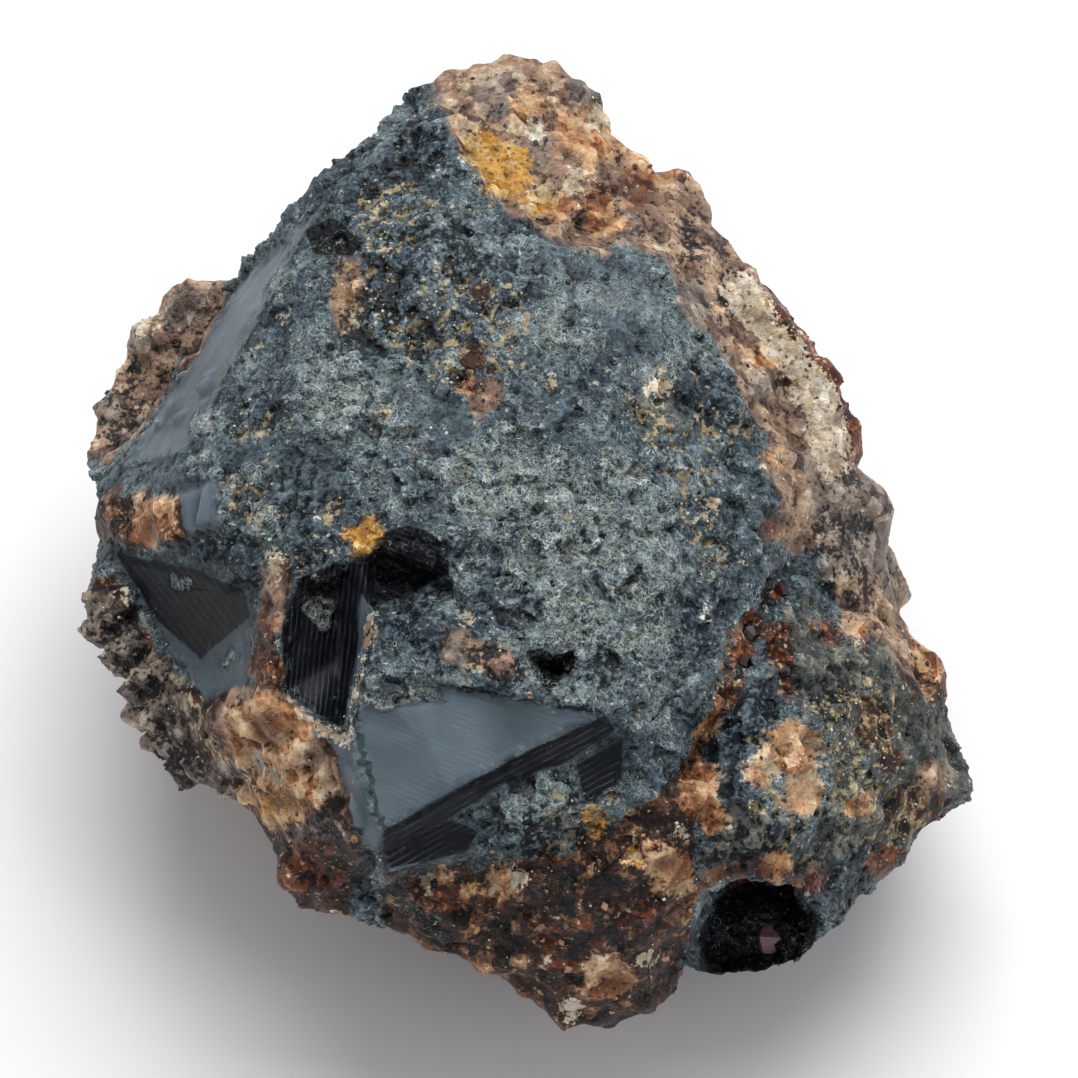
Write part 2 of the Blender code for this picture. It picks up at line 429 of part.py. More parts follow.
def grow_crystals(mesh):
    """Fuses blocks, garnets and rim plates to the stone, small garnets crowded in patches."""
    draw = random.Random(GARNET_SEED)
    surface = BVHTree.FromBMesh(mesh)
    sight = to_world(0, 0, 0) - to_world(0, 0, 1)
    crystals = [(to_world(*place), size) for *place, size in BIG_GARNETS]
    for across, up, radius, count, largest in CROWDED:
        for _ in range(count):
            turn, reach = draw.uniform(0, math.tau), radius * math.sqrt(draw.random())
            start = to_world(across + reach * math.cos(turn), up + reach * math.sin(turn), 40)
            point, _, _, _ = surface.ray_cast(start, sight)
            size = largest * draw.uniform(0.55, 1)
            if point:
                crystals.append((point + sight.normalized() * size * GARNET_SUNK, size))
    middle = Vector((*BASE_CENTRE, BELT_HEIGHT))
    golden = math.pi * (3 - math.sqrt(5))
    for i in range(UNDERSIDE_GARNETS):
        level = -0.6 + 1.1 * (i + 0.5) / UNDERSIDE_GARNETS
        ring = math.sqrt(1 - level * level)
        way = Vector((ring * math.cos(i * golden), ring * math.sin(i * golden), level))
        point, normal, _, _ = surface.ray_cast(middle, way)
        size = draw.uniform(*UNDERSIDE_SIZES)
        if point and to_face(point)[2] < -FACE_LIMIT:
            crystals.append((point - normal * size * UNDERSIDE_DEPTH, size))
    for centre, size in crystals:
        add_garnet(mesh, centre, size, draw)
    for plate in RIM_PLATES:
        add_plate(mesh, *plate)
    for block in LEDGE_BLOCKS:
        add_block(mesh, surface, *block)


def object_from(mesh, name):
    """Links a new object that holds this bmesh."""
    data = bpy.data.meshes.new(name)
    mesh.to_mesh(data)
    mesh.free()
    obj = bpy.data.objects.new(name, data)
    bpy.context.scene.collection.objects.link(obj)
    return obj


def settled(obj):
    """The object's mesh with its modifiers applied, as a bmesh. The object is removed."""
    bpy.context.view_layer.update()
    evaluated = obj.evaluated_get(bpy.context.evaluated_depsgraph_get())
    mesh = bmesh.new()
    mesh.from_mesh(evaluated.to_mesh())
    evaluated.to_mesh_clear()
    bpy.data.objects.remove(obj)
    return mesh


def hollowed(mesh):
    """Opens the dark hollow between the tongue and the right lobe."""
    stone = object_from(mesh, "stone_before_hollow")
    cutter = bmesh.new()
    add_hull(cutter, [to_world(*corner) for corner in HOLLOW_MOUTH + HOLLOW_END])
    bmesh.ops.recalc_face_normals(cutter, faces=cutter.faces[:])
    tool = object_from(cutter, "hollow_cutter")
    tool.hide_render = True
    tool.display_type = "WIRE"
    opening = stone.modifiers.new("Hollow", "BOOLEAN")
    opening.operation = "DIFFERENCE"
    opening.solver = "EXACT"
    opening.object = tool
    mesh = settled(stone)
    bpy.data.objects.remove(tool)
    return mesh


def fused(mesh):
    """One skin round everything in the mesh, in even steps."""
    obj = object_from(mesh, "crystals_before_fusing")
    skin = obj.modifiers.new("One skin", "REMESH")
    skin.mode = "VOXEL"
    skin.voxel_size = SKIN_STEP
    return settled(obj)


def roughen(mesh):
    """Moves the skin in and out: coarse on the matrix, finer on the dark face, not at all on smooth faces."""
    mesh.normal_update()
    left, right, low, high = DARK_FACE
    moves = []
    for vert in mesh.verts:
        across, up, out = to_face(vert.co)
        seen = out > -FACE_LIMIT
        if seen and any(inside(outline, across, up) for outline in SMOOTH_FACES.values()):
            moves.append(0.0)
            continue
        dark = seen and left < across < right and low < up < high
        lump_width, lump_height, grain_width, grain_height = DRUSE_RELIEF if dark else MATRIX_RELIEF
        cells, _ = noise.voronoi(vert.co / grain_width)
        grain = 2 * grain_height * (MIDDLE_OF_GRAIN - cells[0])
        moves.append(lump_height * noise.noise(vert.co / lump_width) + grain)
    for vert, move in zip(mesh.verts, moves):
        vert.co += vert.normal * move


def thinned(mesh):
    """Fewer triangles, which keeps flat faces flat and edges sharp."""
    obj = object_from(mesh, "crystals_before_thinning")
    count = sum(len(p.vertices) - 2 for p in obj.data.polygons)
    fewer = obj.modifiers.new("Fewer faces", "DECIMATE")
    fewer.ratio = min(1, SOLID_TRIANGLES / count)
    return settled(obj)


def largest_body(mesh):
    """Keeps only the largest connected shell."""
    left, shells = set(mesh.verts), []
    while left:
        shell, edge = set(), [left.pop()]
        while edge:
            vert = edge.pop()
            shell.add(vert)
            for link in vert.link_edges:
                other = link.other_vert(vert)
                if other in left:
                    left.remove(other)
                    edge.append(other)
        shells.append(shell)
    keep = max(shells, key=len)
    bmesh.ops.delete(mesh, geom=[v for v in mesh.verts if v not in keep], context="VERTS")


def cut_flat(mesh):
    """Cuts the broken flat at z = 0 and closes it with one flat face."""
    whole = mesh.verts[:] + mesh.edges[:] + mesh.faces[:]
    cut = bmesh.ops.bisect_plane(
        mesh, geom=whole, dist=1e-5, plane_co=(0, 0, 0), plane_no=(0, 0, 1), clear_inner=True
    )
    rim = [e for e in cut["geom_cut"] if isinstance(e, bmesh.types.BMEdge)]
    for edge in rim:
        for vert in edge.verts:
            vert.co.z = 0
    bmesh.ops.holes_fill(mesh, edges=rim, sides=0)
    bmesh.ops.triangulate(mesh, faces=mesh.faces[:])
    bmesh.ops.recalc_face_normals(mesh, faces=mesh.faces[:])


def garnet_material():
    """Dark slate-grey garnet with a dull stony surface."""
    material = bpy.data.materials.new("garnet_in_matrix")
    material.use_nodes = True
    shader = material.node_tree.nodes["Principled BSDF"]
    shader.inputs["Base Color"].default_value = (0.055, 0.052, 0.055, 1)
    shader.inputs["Roughness"].default_value = 0.55
    shader.inputs["Metallic"].default_value = 0
    return material


def build_stone():
    """The one solid, centred over the middle of its box and standing on z = 0."""
    mesh = hollowed(stone_body())
    grow_crystals(mesh)
    mesh = fused(mesh)
    roughen(mesh)
    mesh = thinned(mesh)
    largest_body(mesh)
    cut_flat(mesh)
    middle = [(min(v.co[k] for v in mesh.verts) + max(v.co[k] for v in mesh.verts)) / 2 for k in (0, 1)]
    bmesh.ops.translate(mesh, verts=mesh.verts[:], vec=(-middle[0], -middle[1], 0))
    stone = object_from(mesh, "garnet_crystal_cluster")
    stone.data.transform(Matrix.Scale(MM, 4))
    stone.data.materials.append(garnet_material())
    return stone


for old in list(bpy.data.objects):
    bpy.data.objects.remove(old)
build_stone()
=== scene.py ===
"""Garnet crystal cluster on a pale studio floor: the looks of the stone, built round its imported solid.

Lengths are millimetres until a mesh is finished, and metres after that. Places on the stone's main face are
(across, up, out), in the frame of that face, which leans back over the flat that the stone lies on.
"""

import json
import logging
import math
import random
from dataclasses import dataclass, field
from enum import Enum
from typing import Any, Iterable

import bmesh
import bpy
import numpy as np
from bmesh.types import BMEdge, BMesh, BMVert
from bpy.types import NodeSocket, NodeTree
from mathutils import Matrix, Vector, noise
from mathutils.bvhtree import BVHTree
from mathutils.geometry import delaunay_2d_cdt


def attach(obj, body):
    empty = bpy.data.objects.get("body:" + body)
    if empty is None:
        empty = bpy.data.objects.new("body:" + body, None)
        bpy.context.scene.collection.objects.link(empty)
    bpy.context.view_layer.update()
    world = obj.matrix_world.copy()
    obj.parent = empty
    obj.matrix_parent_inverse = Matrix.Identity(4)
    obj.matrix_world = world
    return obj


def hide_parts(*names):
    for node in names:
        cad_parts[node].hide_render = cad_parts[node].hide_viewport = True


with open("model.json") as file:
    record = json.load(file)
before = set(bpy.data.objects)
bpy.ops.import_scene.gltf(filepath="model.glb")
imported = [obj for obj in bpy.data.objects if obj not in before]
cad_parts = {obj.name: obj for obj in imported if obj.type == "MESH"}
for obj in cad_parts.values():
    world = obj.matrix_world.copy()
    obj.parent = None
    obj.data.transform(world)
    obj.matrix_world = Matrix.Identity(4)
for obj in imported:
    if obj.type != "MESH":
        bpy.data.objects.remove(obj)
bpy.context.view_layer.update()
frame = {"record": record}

NODE = "garnet_crystal_cluster"
MM = 0.001
LOG = logging.getLogger(NODE)
MATH = "ShaderNodeMath"
VECTOR_MATH = "ShaderNodeVectorMath"
MAP_RANGE = "ShaderNodeMapRange"
NOISE = "ShaderNodeTexNoise"

Corner = tuple[float, float, float]
Place = tuple[float, float]


def linear(colour: str) -> tuple[float, float, float, float]:
    """Turns an sRGB hex colour into the linear colour that a shader takes.

    Args:
        colour: six hex digits, with or without a leading #.

    Returns:
        Linear red, green, blue and an alpha of 1.
    """
    digits = colour.lstrip("#")
    values = [int(digits[i:i + 2], 16) / 255 for i in (0, 2, 4)]
    return (*[v / 12.92 if v <= 0.04045 else ((v + 0.055) / 1.055) ** 2.4 for v in values], 1.0)


def per_metre(millimetres: float) -> float:
    """The texture scale whose pattern repeats every so many millimetres."""
    return 1000.0 / millimetres


def add_node(tree: NodeTree, kind: str, inputs: dict[Any, Any], **settings: Any) -> bpy.types.Node:
    """Adds a shader node, sets it and links it.

    Args:
        tree: the material's node tree.
        kind: the node's type name.
        inputs: socket name or number, with a plain value or an output socket to link.
        settings: the node's own properties, or stops, a ramp's places and hex colours in rising order.

    Returns:
        The new node.
    """
    made = tree.nodes.new(kind)
    for stop, (share, colour) in enumerate(settings.pop("stops", ())):
        ramp = made.color_ramp.elements
        spot = ramp[stop] if stop < 2 else ramp.new(share)
        spot.position = share
        spot.color = linear(colour)
    for name, value in settings.items():
        setattr(made, name, value)
    for key, value in inputs.items():
        if isinstance(value, NodeSocket):
            tree.links.new(value, made.inputs[key])
        else:
            made.inputs[key].default_value = value
    return made


def lattice_random(cells: np.ndarray, salt: int) -> np.ndarray:
    """One repeatable random number from 0 to 1 for each whole-number cell.

    Args:
        cells: whole numbers, shape (..., 3).
        salt: picks one of many such fields.

    Returns:
        Numbers from 0 to 1, shape (...).
    """
    n = cells.astype(np.int64)
    mixed = (n[..., 0] * 73856093) ^ (n[..., 1] * 19349663) ^ (n[..., 2] * 83492791) ^ (salt * 2654435761)
    mixed = (mixed ^ (mixed >> 13)) * 1274126177
    mixed = mixed ^ (mixed >> 16)
    return (mixed & 0xFFFFFF) / float(0xFFFFFF)


def soft_field(points: np.ndarray, size: float, salt: int) -> np.ndarray:
    """Smooth random values from -1 to 1.

    Args:
        points: places in millimetres, shape (n, 3).
        size: how far apart the field's lumps are, in millimetres.
        salt: picks one of many such fields.

    Returns:
        One value for each place.
    """
    scaled = points / size
    low = np.floor(scaled)
    share = scaled - low
    share = share * share * (3 - 2 * share)
    total = np.zeros(len(points))
    for corner in np.ndindex(2, 2, 2):
        weight = np.prod(np.where(np.array(corner) == 1, share, 1 - share), axis=1)
        total += weight * lattice_random(low + corner, salt)
    return total * 2 - 1


def grain_field(points: np.ndarray, size: float, salt: int) -> tuple[np.ndarray, np.ndarray, np.ndarray]:
    """Packed grains: how far each place is from its grain's middle, and where that grain is.

    Args:
        points: places in millimetres, shape (n, 3).
        size: the grains' width in millimetres.
        salt: picks one of many such packings.

    Returns:
        Distance to the nearest middle as a share of size, the offset from it, and three random numbers.
    """
    scaled = points / size
    low = np.floor(scaled)
    nearest = np.full(len(points), 9.0)
    offset = np.zeros((len(points), 3))
    number = np.zeros((len(points), 3))
    for step in np.ndindex(3, 3, 3):
        cell = low + np.array(step) - 1
        chance = np.stack([lattice_random(cell, salt + k) for k in range(3)], axis=1)
        away = scaled - (cell + chance)
        reach = np.linalg.norm(away, axis=1)
        closer = reach < nearest
        nearest[closer] = reach[closer]
        offset[closer] = away[closer]
        number[closer] = chance[closer]
    return nearest, offset, number


@dataclass(frozen=True)
class FaceFrame:
    """The frame of the stone's main face, and how it stands over the floor."""

    lean: float = math.radians(60)
    height: float = 31.0
    sight: float = 450.0
    base_centre: Place = (2.0, 4.0)
    base_sink: float = 1.5
    clear: float = 40.0

    def shift(self) -> Vector:
        """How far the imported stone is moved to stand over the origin: its mount is at the base's centre."""
        mount = frame["record"]["mounts"][0]["pos_m"]
        return Vector((mount[0] / MM - self.base_centre[0], mount[1] / MM - self.base_centre[1], 0))

    def to_world(self, across: float, up: float, out: float) -> Vector:
        """A point of the face in world millimetres. Points further back spread, as sight lines do.

        Args:
            across: to the right along the face.
            up: along the face, away from the floor.
            out: out of the face.

        Returns:
            The point over the base, before the shift to the origin.
        """
        spread = 1 - out / self.sight
        up *= spread
        return Vector((
            across * spread,
            up * math.sin(self.lean) - out * math.cos(self.lean),
            up * math.cos(self.lean) + out * math.sin(self.lean) + self.height,
        ))

    def turned(self, degrees: float) -> Matrix:
        """The turn of what stands on the face, by so many degrees in the face."""
        upright = Matrix.Rotation(math.pi / 2 - self.lean, 3, "X")
        return upright @ Matrix.Rotation(math.radians(degrees), 3, "Z")

    def to_face(self, points: np.ndarray) -> tuple[np.ndarray, np.ndarray, np.ndarray]:
        """The (across, up, out) of world points in millimetres.

        Args:
            points: world points, shape (n, 3).

        Returns:
            Three arrays of n values.
        """
        height = points[:, 2] - self.height
        out = height * math.sin(self.lean) - points[:, 1] * math.cos(self.lean)
        up = height * math.cos(self.lean) + points[:, 1] * math.sin(self.lean)
        spread = 1 - out / self.sight
        return points[:, 0] / spread, up / spread, out


def garnet_corners() -> list[Vector]:
    """The corners of a rhombic dodecahedron, the furthest of them 2 from its middle."""
    corners = [Vector((x, y, z)) for x in (-1, 1) for y in (-1, 1) for z in (-1, 1)]
    for way in range(3):
        for side in (-1, 1):
            corners.append(Vector([2 * side if k == way else 0 for k in range(3)]))
    return corners


@dataclass(frozen=True)
class Patch:
    """An area of the face inside an outline, in (across, up)."""

    outline: tuple[Place, ...]

    def depth(self, across: np.ndarray, up: np.ndarray) -> np.ndarray:
        """How far each place is inside the outline, in millimetres; below 0 outside it."""
        nearest = np.full(len(across), 1e9)
        within = np.zeros(len(across), bool)
        for (x0, y0), (x1, y1) in zip(self.outline, self.outline[1:] + self.outline[:1]):
            side = np.array([x1 - x0, y1 - y0])
            share = ((across - x0) * side[0] + (up - y0) * side[1]) / max(1e-9, side @ side)
            share = np.clip(share, 0, 1)
            nearest = np.minimum(nearest, np.hypot(across - x0 - share * side[0], up - y0 - share * side[1]))
            if y0 != y1:
                within ^= ((y0 > up) != (y1 > up)) & (across < (x1 - x0) * (up - y0) / (y1 - y0) + x0)
        return np.where(within, nearest, -nearest)


@dataclass(frozen=True)
class Spot:
    """A round area of the face."""

    across: float
    up: float
    radius: float

    def depth(self, across: np.ndarray, up: np.ndarray) -> np.ndarray:
        """How far each place is inside the spot, in millimetres; below 0 outside it."""
        return self.radius - np.hypot(across - self.across, up - self.up)


@dataclass(frozen=True)
class Streak:
    """A band of the face along a line."""

    line: tuple[Place, ...]
    half_width: float

    def depth(self, across: np.ndarray, up: np.ndarray) -> np.ndarray:
        """How far each place is inside the band, in millimetres; below 0 outside it."""
        nearest = np.full(len(across), 1e9)
        for (x0, y0), (x1, y1) in zip(self.line, self.line[1:]):
            side = np.array([x1 - x0, y1 - y0])
            share = np.clip(((across - x0) * side[0] + (up - y0) * side[1]) / (side @ side), 0, 1)
            nearest = np.minimum(nearest, np.hypot(across - x0 - share * side[0], up - y0 - share * side[1]))
        return self.half_width - nearest


class Tone(Enum):
    """The parts of the surface that look different, each a mask on the stone's mesh."""

    BROWN = 0
    ORANGE = 1
    OCHRE = 2
    CREAM = 3
    MAROON = 4
    MAUVE = 5
    BLACK = 6
    SMOOTH = 7
    GARNET = 8
    CRUST = 9
    DARK = 10
    PALE = 11
    OLIVE = 12
    TAUPE = 13
    RUST = 14


@dataclass
class StoneForm:
    """The stone's shape: relief net, hidden sides, hollow and grown garnets, as in the solid but finer."""

    face: FaceFrame = field(default_factory=FaceFrame)
    skin_step: float = 0.26
    most_triangles: int = 196000
    face_limit: float = 12.0
    belt_share: float = 0.5
    belt_bulge: float = 9.0
    belt_margin: float = 0.94
    garnet_seed: int = 7
    underside_garnets: int = 46
    underside_sizes: Place = (2.6, 5.4)
    underside_depth: float = 0.5
    garnet_sunk: float = 0.35
    plate_size: Corner = (3.6, 2.6, 1.1)
    plate_lean: float = math.radians(38)
    plate_bevel: float = 0.7
    block_foot: float = 1.15
    block_top: float = 0.84
    block_sunk: float = 1.2
    belt_height: float = 17.0
    grown: list[tuple[Vector, float]] = field(default_factory=list)

    base_outline: tuple[Place, ...] = (
        (-11, -1), (-7, -6), (1, -9), (9, -8.5), (15, -5), (18, 1), (17, 9), (12, 17), (1, 20), (-8, 17),
        (-14, 9),
    )
    broken_faces: tuple[Place, ...] = (
        (92, -28), (135, -38), (48, -36), (5, -24), (182, -30), (215, -40), (325, -42), (70, -55),
        (265, -38),
    )
    # The rim where the face turns away, clockwise from the top.
    rim: tuple[Corner, ...] = (
        (-1.1, 32.7, -13), (1.3, 32.5, -13), (2.8, 31.7, -13), (3.7, 30.7, -13), (5.4, 29.8, -13),
        (6.1, 27.7, -12), (8.8, 25.1, -12), (11.9, 21.5, -11), (14.9, 18.5, -11), (17.2, 16.0, -11),
        (19.0, 13.7, -10), (20.6, 10.8, -10), (21.9, 9.2, -10), (22.2, 7.3, -9), (22.0, 5.3, -9),
        (23.1, 4.5, -9), (24.4, 3.5, -10), (25.0, 2.1, -10), (24.4, 1.0, -9), (23.9, 0.5, -9),
        (24.2, -0.7, -9), (24.6, -2.3, -9), (24.3, -3.7, -8), (25.1, -4.7, -9), (26.7, -6.1, -10),
        (27.9, -7.5, -10), (28.3, -8.9, -10), (28.5, -11.7, -10), (29.0, -13.3, -10), (30.3, -16.3, -9),
        (30.0, -17.4, -9), (28.3, -18.2, -8), (26.7, -20.0, -8), (24.7, -22.3, -7), (22.0, -24.8, -6),
        (20.7, -25.9, -6), (18.7, -28.0, -6), (16.5, -28.9, -6), (12.1, -28.9, -5), (11.3, -26.9, -2),
        (10.8, -28.7, -1), (9.7, -30.8, -1), (8.9, -31.7, -1), (5.6, -32.3, -1), (4.0, -32.4, -1),
        (2.3, -31.5, 0), (-0.1, -30.3, 0), (-1.7, -29.3, 1), (-4.1, -27.8, 1), (-5.9, -27.4, 1),
        (-8.5, -26.1, 1), (-12.3, -25.0, 0), (-14.1, -24.5, -1), (-15.9, -22.3, -2), (-17.0, -19.9, -3),
        (-17.6, -18.2, -3), (-19.3, -16.9, -4), (-21.1, -16.3, -5), (-22.6, -15.0, -6), (-23.7, -13.5, -6),
        (-24.9, -11.5, -7), (-25.7, -10.1, -7), (-27.1, -8.1, -8), (-27.9, -6.7, -8), (-28.9, -5.3, -8),
        (-29.1, -4.3, -8), (-28.8, -2.6, -8), (-28.2, -0.3, -9), (-28.2, 3.8, -12), (-29.1, 5.3, -16),
        (-28.1, 8.7, -18), (-26.3, 12.5, -18), (-24.8, 14.1, -18), (-24.1, 16.3, -18), (-22.7, 17.3, -18),
        (-19.0, 17.7, -17), (-18.7, 18.5, -15), (-17.3, 20.0, -12), (-15.7, 21.9, -11), (-12.5, 25.2, -11),
        (-9.5, 27.5, -11), (-8.2, 29.3, -12), (-6.7, 30.5, -13), (-4.8, 31.4, -13), (-3.1, 31.7, -13),
    )
    # Edges and hollows of the face, each a line of corners that the relief keeps.
    breaklines: dict[str, tuple[Corner, ...]] = field(default_factory=lambda: {
        # Upper left: a smooth bevelled crystal side between the dark face and the lower back lobe.
        "bevel_ridge": ((-8.7, 27.3, -9), (-12, 23.7, -7), (-14.7, 20, -5), (-17.2, 15.3, -3.5),
                        (-19.7, 10.7, -2), (-21.7, 6.2, 0)),
        "bevel_foot": ((-17.6, 18.2, -12.5), (-19, 16, -12), (-21, 13, -11), (-23.7, 9, -10),
                       (-27, 4.7, -9.5)),
        "back_lobe_top": ((-18.2, 17.7, -16), (-19.6, 16, -17), (-21.6, 13.2, -17), (-24.2, 9.2, -16.5),
                          (-27.5, 5.4, -15.5)),
        "back_lobe_crest": ((-21.3, 16, -16.5), (-24.7, 11.3, -17), (-27, 8, -17)),
        # The dark face stands over the brown cap and band by a curved, chipped step.
        "scoop_edge": ((-4.7, 27.3, -6.5), (-2.7, 24, -4.5), (-1.3, 22.5, -3.8), (1.3, 20.8, -3),
                       (3.7, 19.7, -2.5), (7.3, 19.3, -3), (9.5, 18.8, -3.5), (11.3, 16, -3),
                       (13, 13.3, -2.5), (14.7, 10, -2), (16.3, 6.7, -1.5), (17.5, 2.7, -1),
                       (17.3, -0.9, 0)),
        "scoop_foot": ((-4.1, 27.9, -8), (-2.2, 24.6, -6.6), (-0.9, 23.2, -6), (1.7, 21.6, -5.3),
                       (3.9, 20.4, -5), (7.5, 20, -5.4), (10, 19.5, -5.8), (11.9, 16.4, -5.2),
                       (13.6, 13.7, -4.6), (15.3, 10.3, -4), (17, 6.9, -3.4), (18.2, 2.7, -3),
                       (18.3, -1, -2.4)),
        "cap_crest": ((-6.3, 29, -11), (-1.3, 30, -10.5), (2.7, 28.7, -10.5), (4.7, 25.3, -9),
                      (7.3, 22.7, -9), (10.7, 20.2, -8)),
        "cap_middle": ((0, 26, -7.6), (2.7, 23.4, -6.8)),
        # Right band: a trough with a pale streak, and a dark raised rim beside it.
        "band_rim": ((15.4, 17.2, -9), (18, 14, -8), (20, 10.3, -7.5), (21.2, 7.3, -7)),
        "band_trough": ((14.6, 16.2, -8), (17, 12, -7.4), (19, 8, -6.8), (20.3, 5, -6)),
        "band_shoulder": ((16, 9.3, -4.6), (18, 6, -4)),
        "knob_ridge": ((20, 1.3, -4.6), (22, 2.7, -6), (23.3, 2.5, -7)),
        "lower_knob": ((20.7, -3.3, -4.5), (22, -1.3, -5.6), (23, -2.3, -6.4)),
        # The brown seam between the dark face and the right lobe.
        "seam_left_lip": ((16.1, -3.1, 2.5), (14.4, -6.3, 5), (12.4, -10.3, 7.5), (10.5, -14.7, 8.5)),
        "seam_bottom": ((17.5, -2.4, -1), (16.7, -4.2, 0.8), (15.3, -6.9, 2.8), (13.4, -10.8, 5),
                        (11.6, -15.3, 5.6)),
        "seam_right_lip": ((18.6, -3.8, 0.4), (18, -5, 1.6), (16.6, -7.7, 4), (14.8, -11.5, 6.3),
                           (13, -16, 7)),
        # Right lobe.
        "lobe_crest": ((20.7, -7.3, 0), (22, -12, 1), (22.7, -17.3, 1)),
        "lobe_front": ((18.7, -13.3, 5), (18.7, -18, 5.2), (15.6, -19.6, 6.2), (13.3, -19.3, 6.4)),
        "lobe_outer": ((24.7, -8, -4), (27, -10.7, -6), (27.4, -14.7, -5), (28, -16.2, -5)),
        "lobe_low": ((25.3, -14.7, -2), (24, -20, -2.4), (21.3, -23, -2)),
        "arch_edge": ((11.7, -25.4, 4), (12.4, -23.6, 5), (14.9, -22.5, 5), (18, -22.9, 3.4),
                      (20.2, -24.2, 0.5)),
        "arch_inside": ((12.1, -26.4, -5), (12.8, -24.3, -6), (15, -23.2, -7), (17.8, -23.6, -7),
                        (19.6, -24.8, -6)),
        "hollow_floor": ((13.2, -27.6, -7.5), (16.6, -27.4, -7.5)),
        # Main dark face: slightly convex, drusy.
        "face_crown": ((-4.7, 21.8, -3), (-1.5, 17.5, 0.4), (0.5, 12.5, 3), (5.3, 6, 6.8), (9.3, 1.3, 6.8),
                       (12, -4, 6.2)),
        "face_shelf": ((-8, 16, 0), (-6, 7.3, 6), (-1.3, 1.3, 9.5), (2.7, -3.3, 11.3)),
        "face_left": ((-14.7, 14, -1), (-16.7, 8, 2.5), (-11.3, 4.4, 6.6)),
        "face_right": ((6.7, 14, 1), (10.5, 8.6, 2.2), (13.6, 2.6, 3)),
        "face_low": ((7.6, -3.6, 9.6), (8.2, -8, 10.4), (7.4, -11, 11.2)),
        # Upper drusy patch: a broken hollow with small ledges.
        "druse_ledge": ((-10.4, 18.6, -2.2), (-6.6, 17.9, -0.4), (-4.4, 18.2, -0.9)),
        "druse_pit": ((-7.0, 13.3, 0.6), (-5, 13, 1.4), (-3, 12.3, 1.8)),
        # Overhang with a shadow beneath it.
        "overhang_lip": ((-9.3, -0.4, 10), (-7, -1.3, 10.2), (-4.7, -2, 10.6)),
        "overhang_top": ((-8.9, 0.5, 10.8), (-7.3, 1.1, 11.4), (-5.1, 0.1, 11.7)),
        "overhang_floor": ((-9.1, -2.6, 7.6), (-6.6, -3.4, 8.6)),
        "overhang_foot": ((-9.2, -1, 7.2), (-6.9, -2.2, 7.4), (-5, -2.8, 8.4)),
        "druse_triangle": ((-6.7, -5.3, 11.4), (-8, -8, 11.4), (-3.2, -5.2, 11.9)),
        # The triangular hole.
        "hole_rim": ((0.4, -7.7, 12.2), (3.7, -7.2, 11.5), (3.9, -9.3, 11.8), (1.8, -10.1, 12.6),
                     (0.4, -7.7, 12.2)),
        "hole_bottom": ((1.6, -8.2, 8.4), (3, -8.3, 8), (2.2, -9.2, 8.4)),
        # Smooth slate facet with a low ledge over it.
        "ledge_over_facet": ((-8.7, -8.8, 12.1), (-4.3, -9.3, 12.9), (-1.3, -9.9, 13), (1, -10.4, 13)),
        "slate_facet": ((-10.4, -10.4, 11.1), (-8.6, -9.5, 11.5), (-4.5, -9.9, 11.9), (1.1, -10.9, 12.4),
                        (5.4, -11.8, 12.8), (0, -14.1, 11.8), (-4.7, -16.8, 10.8), (-9.3, -19.3, 9.8),
                        (-10.5, -16.5, 10.1), (-11.2, -13.6, 10.5), (-10.4, -10.4, 11.1)),
        # Two striated steps below the facet, rising to the right.
        "upper_step_foot": ((-9, -20.6, 7.4), (-4.7, -18.9, 8.2), (0, -16.8, 9.1), (3.3, -15.2, 9.7),
                            (7, -13.3, 10.2)),
        "lower_step_edge": ((-8.6, -21.9, 7.1), (-3.3, -20.5, 8.3), (2.7, -18.6, 9.2), (6, -16.6, 9.8)),
        "lower_step_foot": ((-8.2, -22.8, 5.4), (-3.2, -21.7, 6.2), (3, -20.3, 7.2), (6.2, -18.6, 8.2)),
        # Tongue along the bottom.
        "tongue_top": ((9.3, -17.3, 9.2), (8.7, -21, 8.6), (11, -22.3, 6.4)),
        "tongue_middle": ((-6, -25, 4.2), (-2.7, -23.8, 6), (2.7, -23.6, 7.6), (5.5, -26.5, 6.4),
                          (9.3, -26.7, 4.6)),
        "tongue_low": ((0, -28, 3.8), (4.7, -30.6, 2.6), (8, -30.2, 2.4)),
        # Lower left shoulder.
        "gap_under_steps": ((-10, -21.6, 6), (-11, -22.4, 2.8)),
        "shoulder_top": ((-13.3, -17.3, 7.5), (-12.6, -20.5, 6)),
        "shoulder_outer": ((-19.3, -15.1, 0), (-16, -16.7, 5), (-14.8, -20, 4.4), (-13.3, -23.2, 3)),
        "shoulder_left": ((-20.9, -12.7, 1), (-18.8, -11.8, 4.6), (-15.3, -13.3, 7.5)),
        # Wedge-shaped recess with upright walls, and the narrow pillar to its left.
        "recess_rim": ((-14.7, -2.6, 9.3), (-12.5, -1.5, 9.5), (-10.4, -1.6, 9.7), (-9.8, -5, 10),
                       (-10.5, -7.8, 10.4), (-11.5, -12.9, 9.9), (-13.6, -11.7, 8.9), (-15.9, -10.2, 8.3),
                       (-15.8, -6.1, 9.2), (-14.7, -2.6, 9.3)),
        "recess_floor": ((-12.3, -2.7, 6.8), (-11.9, -7.7, 6.4), (-12.1, -11.6, 7.4)),
        "pillar_crest": ((-16.3, -1.5, 9.9), (-16.6, -4.5, 9.9), (-16.8, -10, 8.8)),
        "pillar_left": ((-17.1, -2.6, 7.2), (-17.5, -5, 6.2), (-17.9, -10, 5.5)),
        # Left facets: a steep smooth crystal face, and a paler one below it.
        "left_facet": ((-27, -0.6, -6.5), (-21.7, -2, -0.2), (-19.5, -3.7, 1.4), (-17.9, -3.2, 3.6),
                       (-17.9, -5, 3), (-21.3, -7.9, -3), (-24.7, -4.7, -5.8), (-27, -0.6, -6.5)),
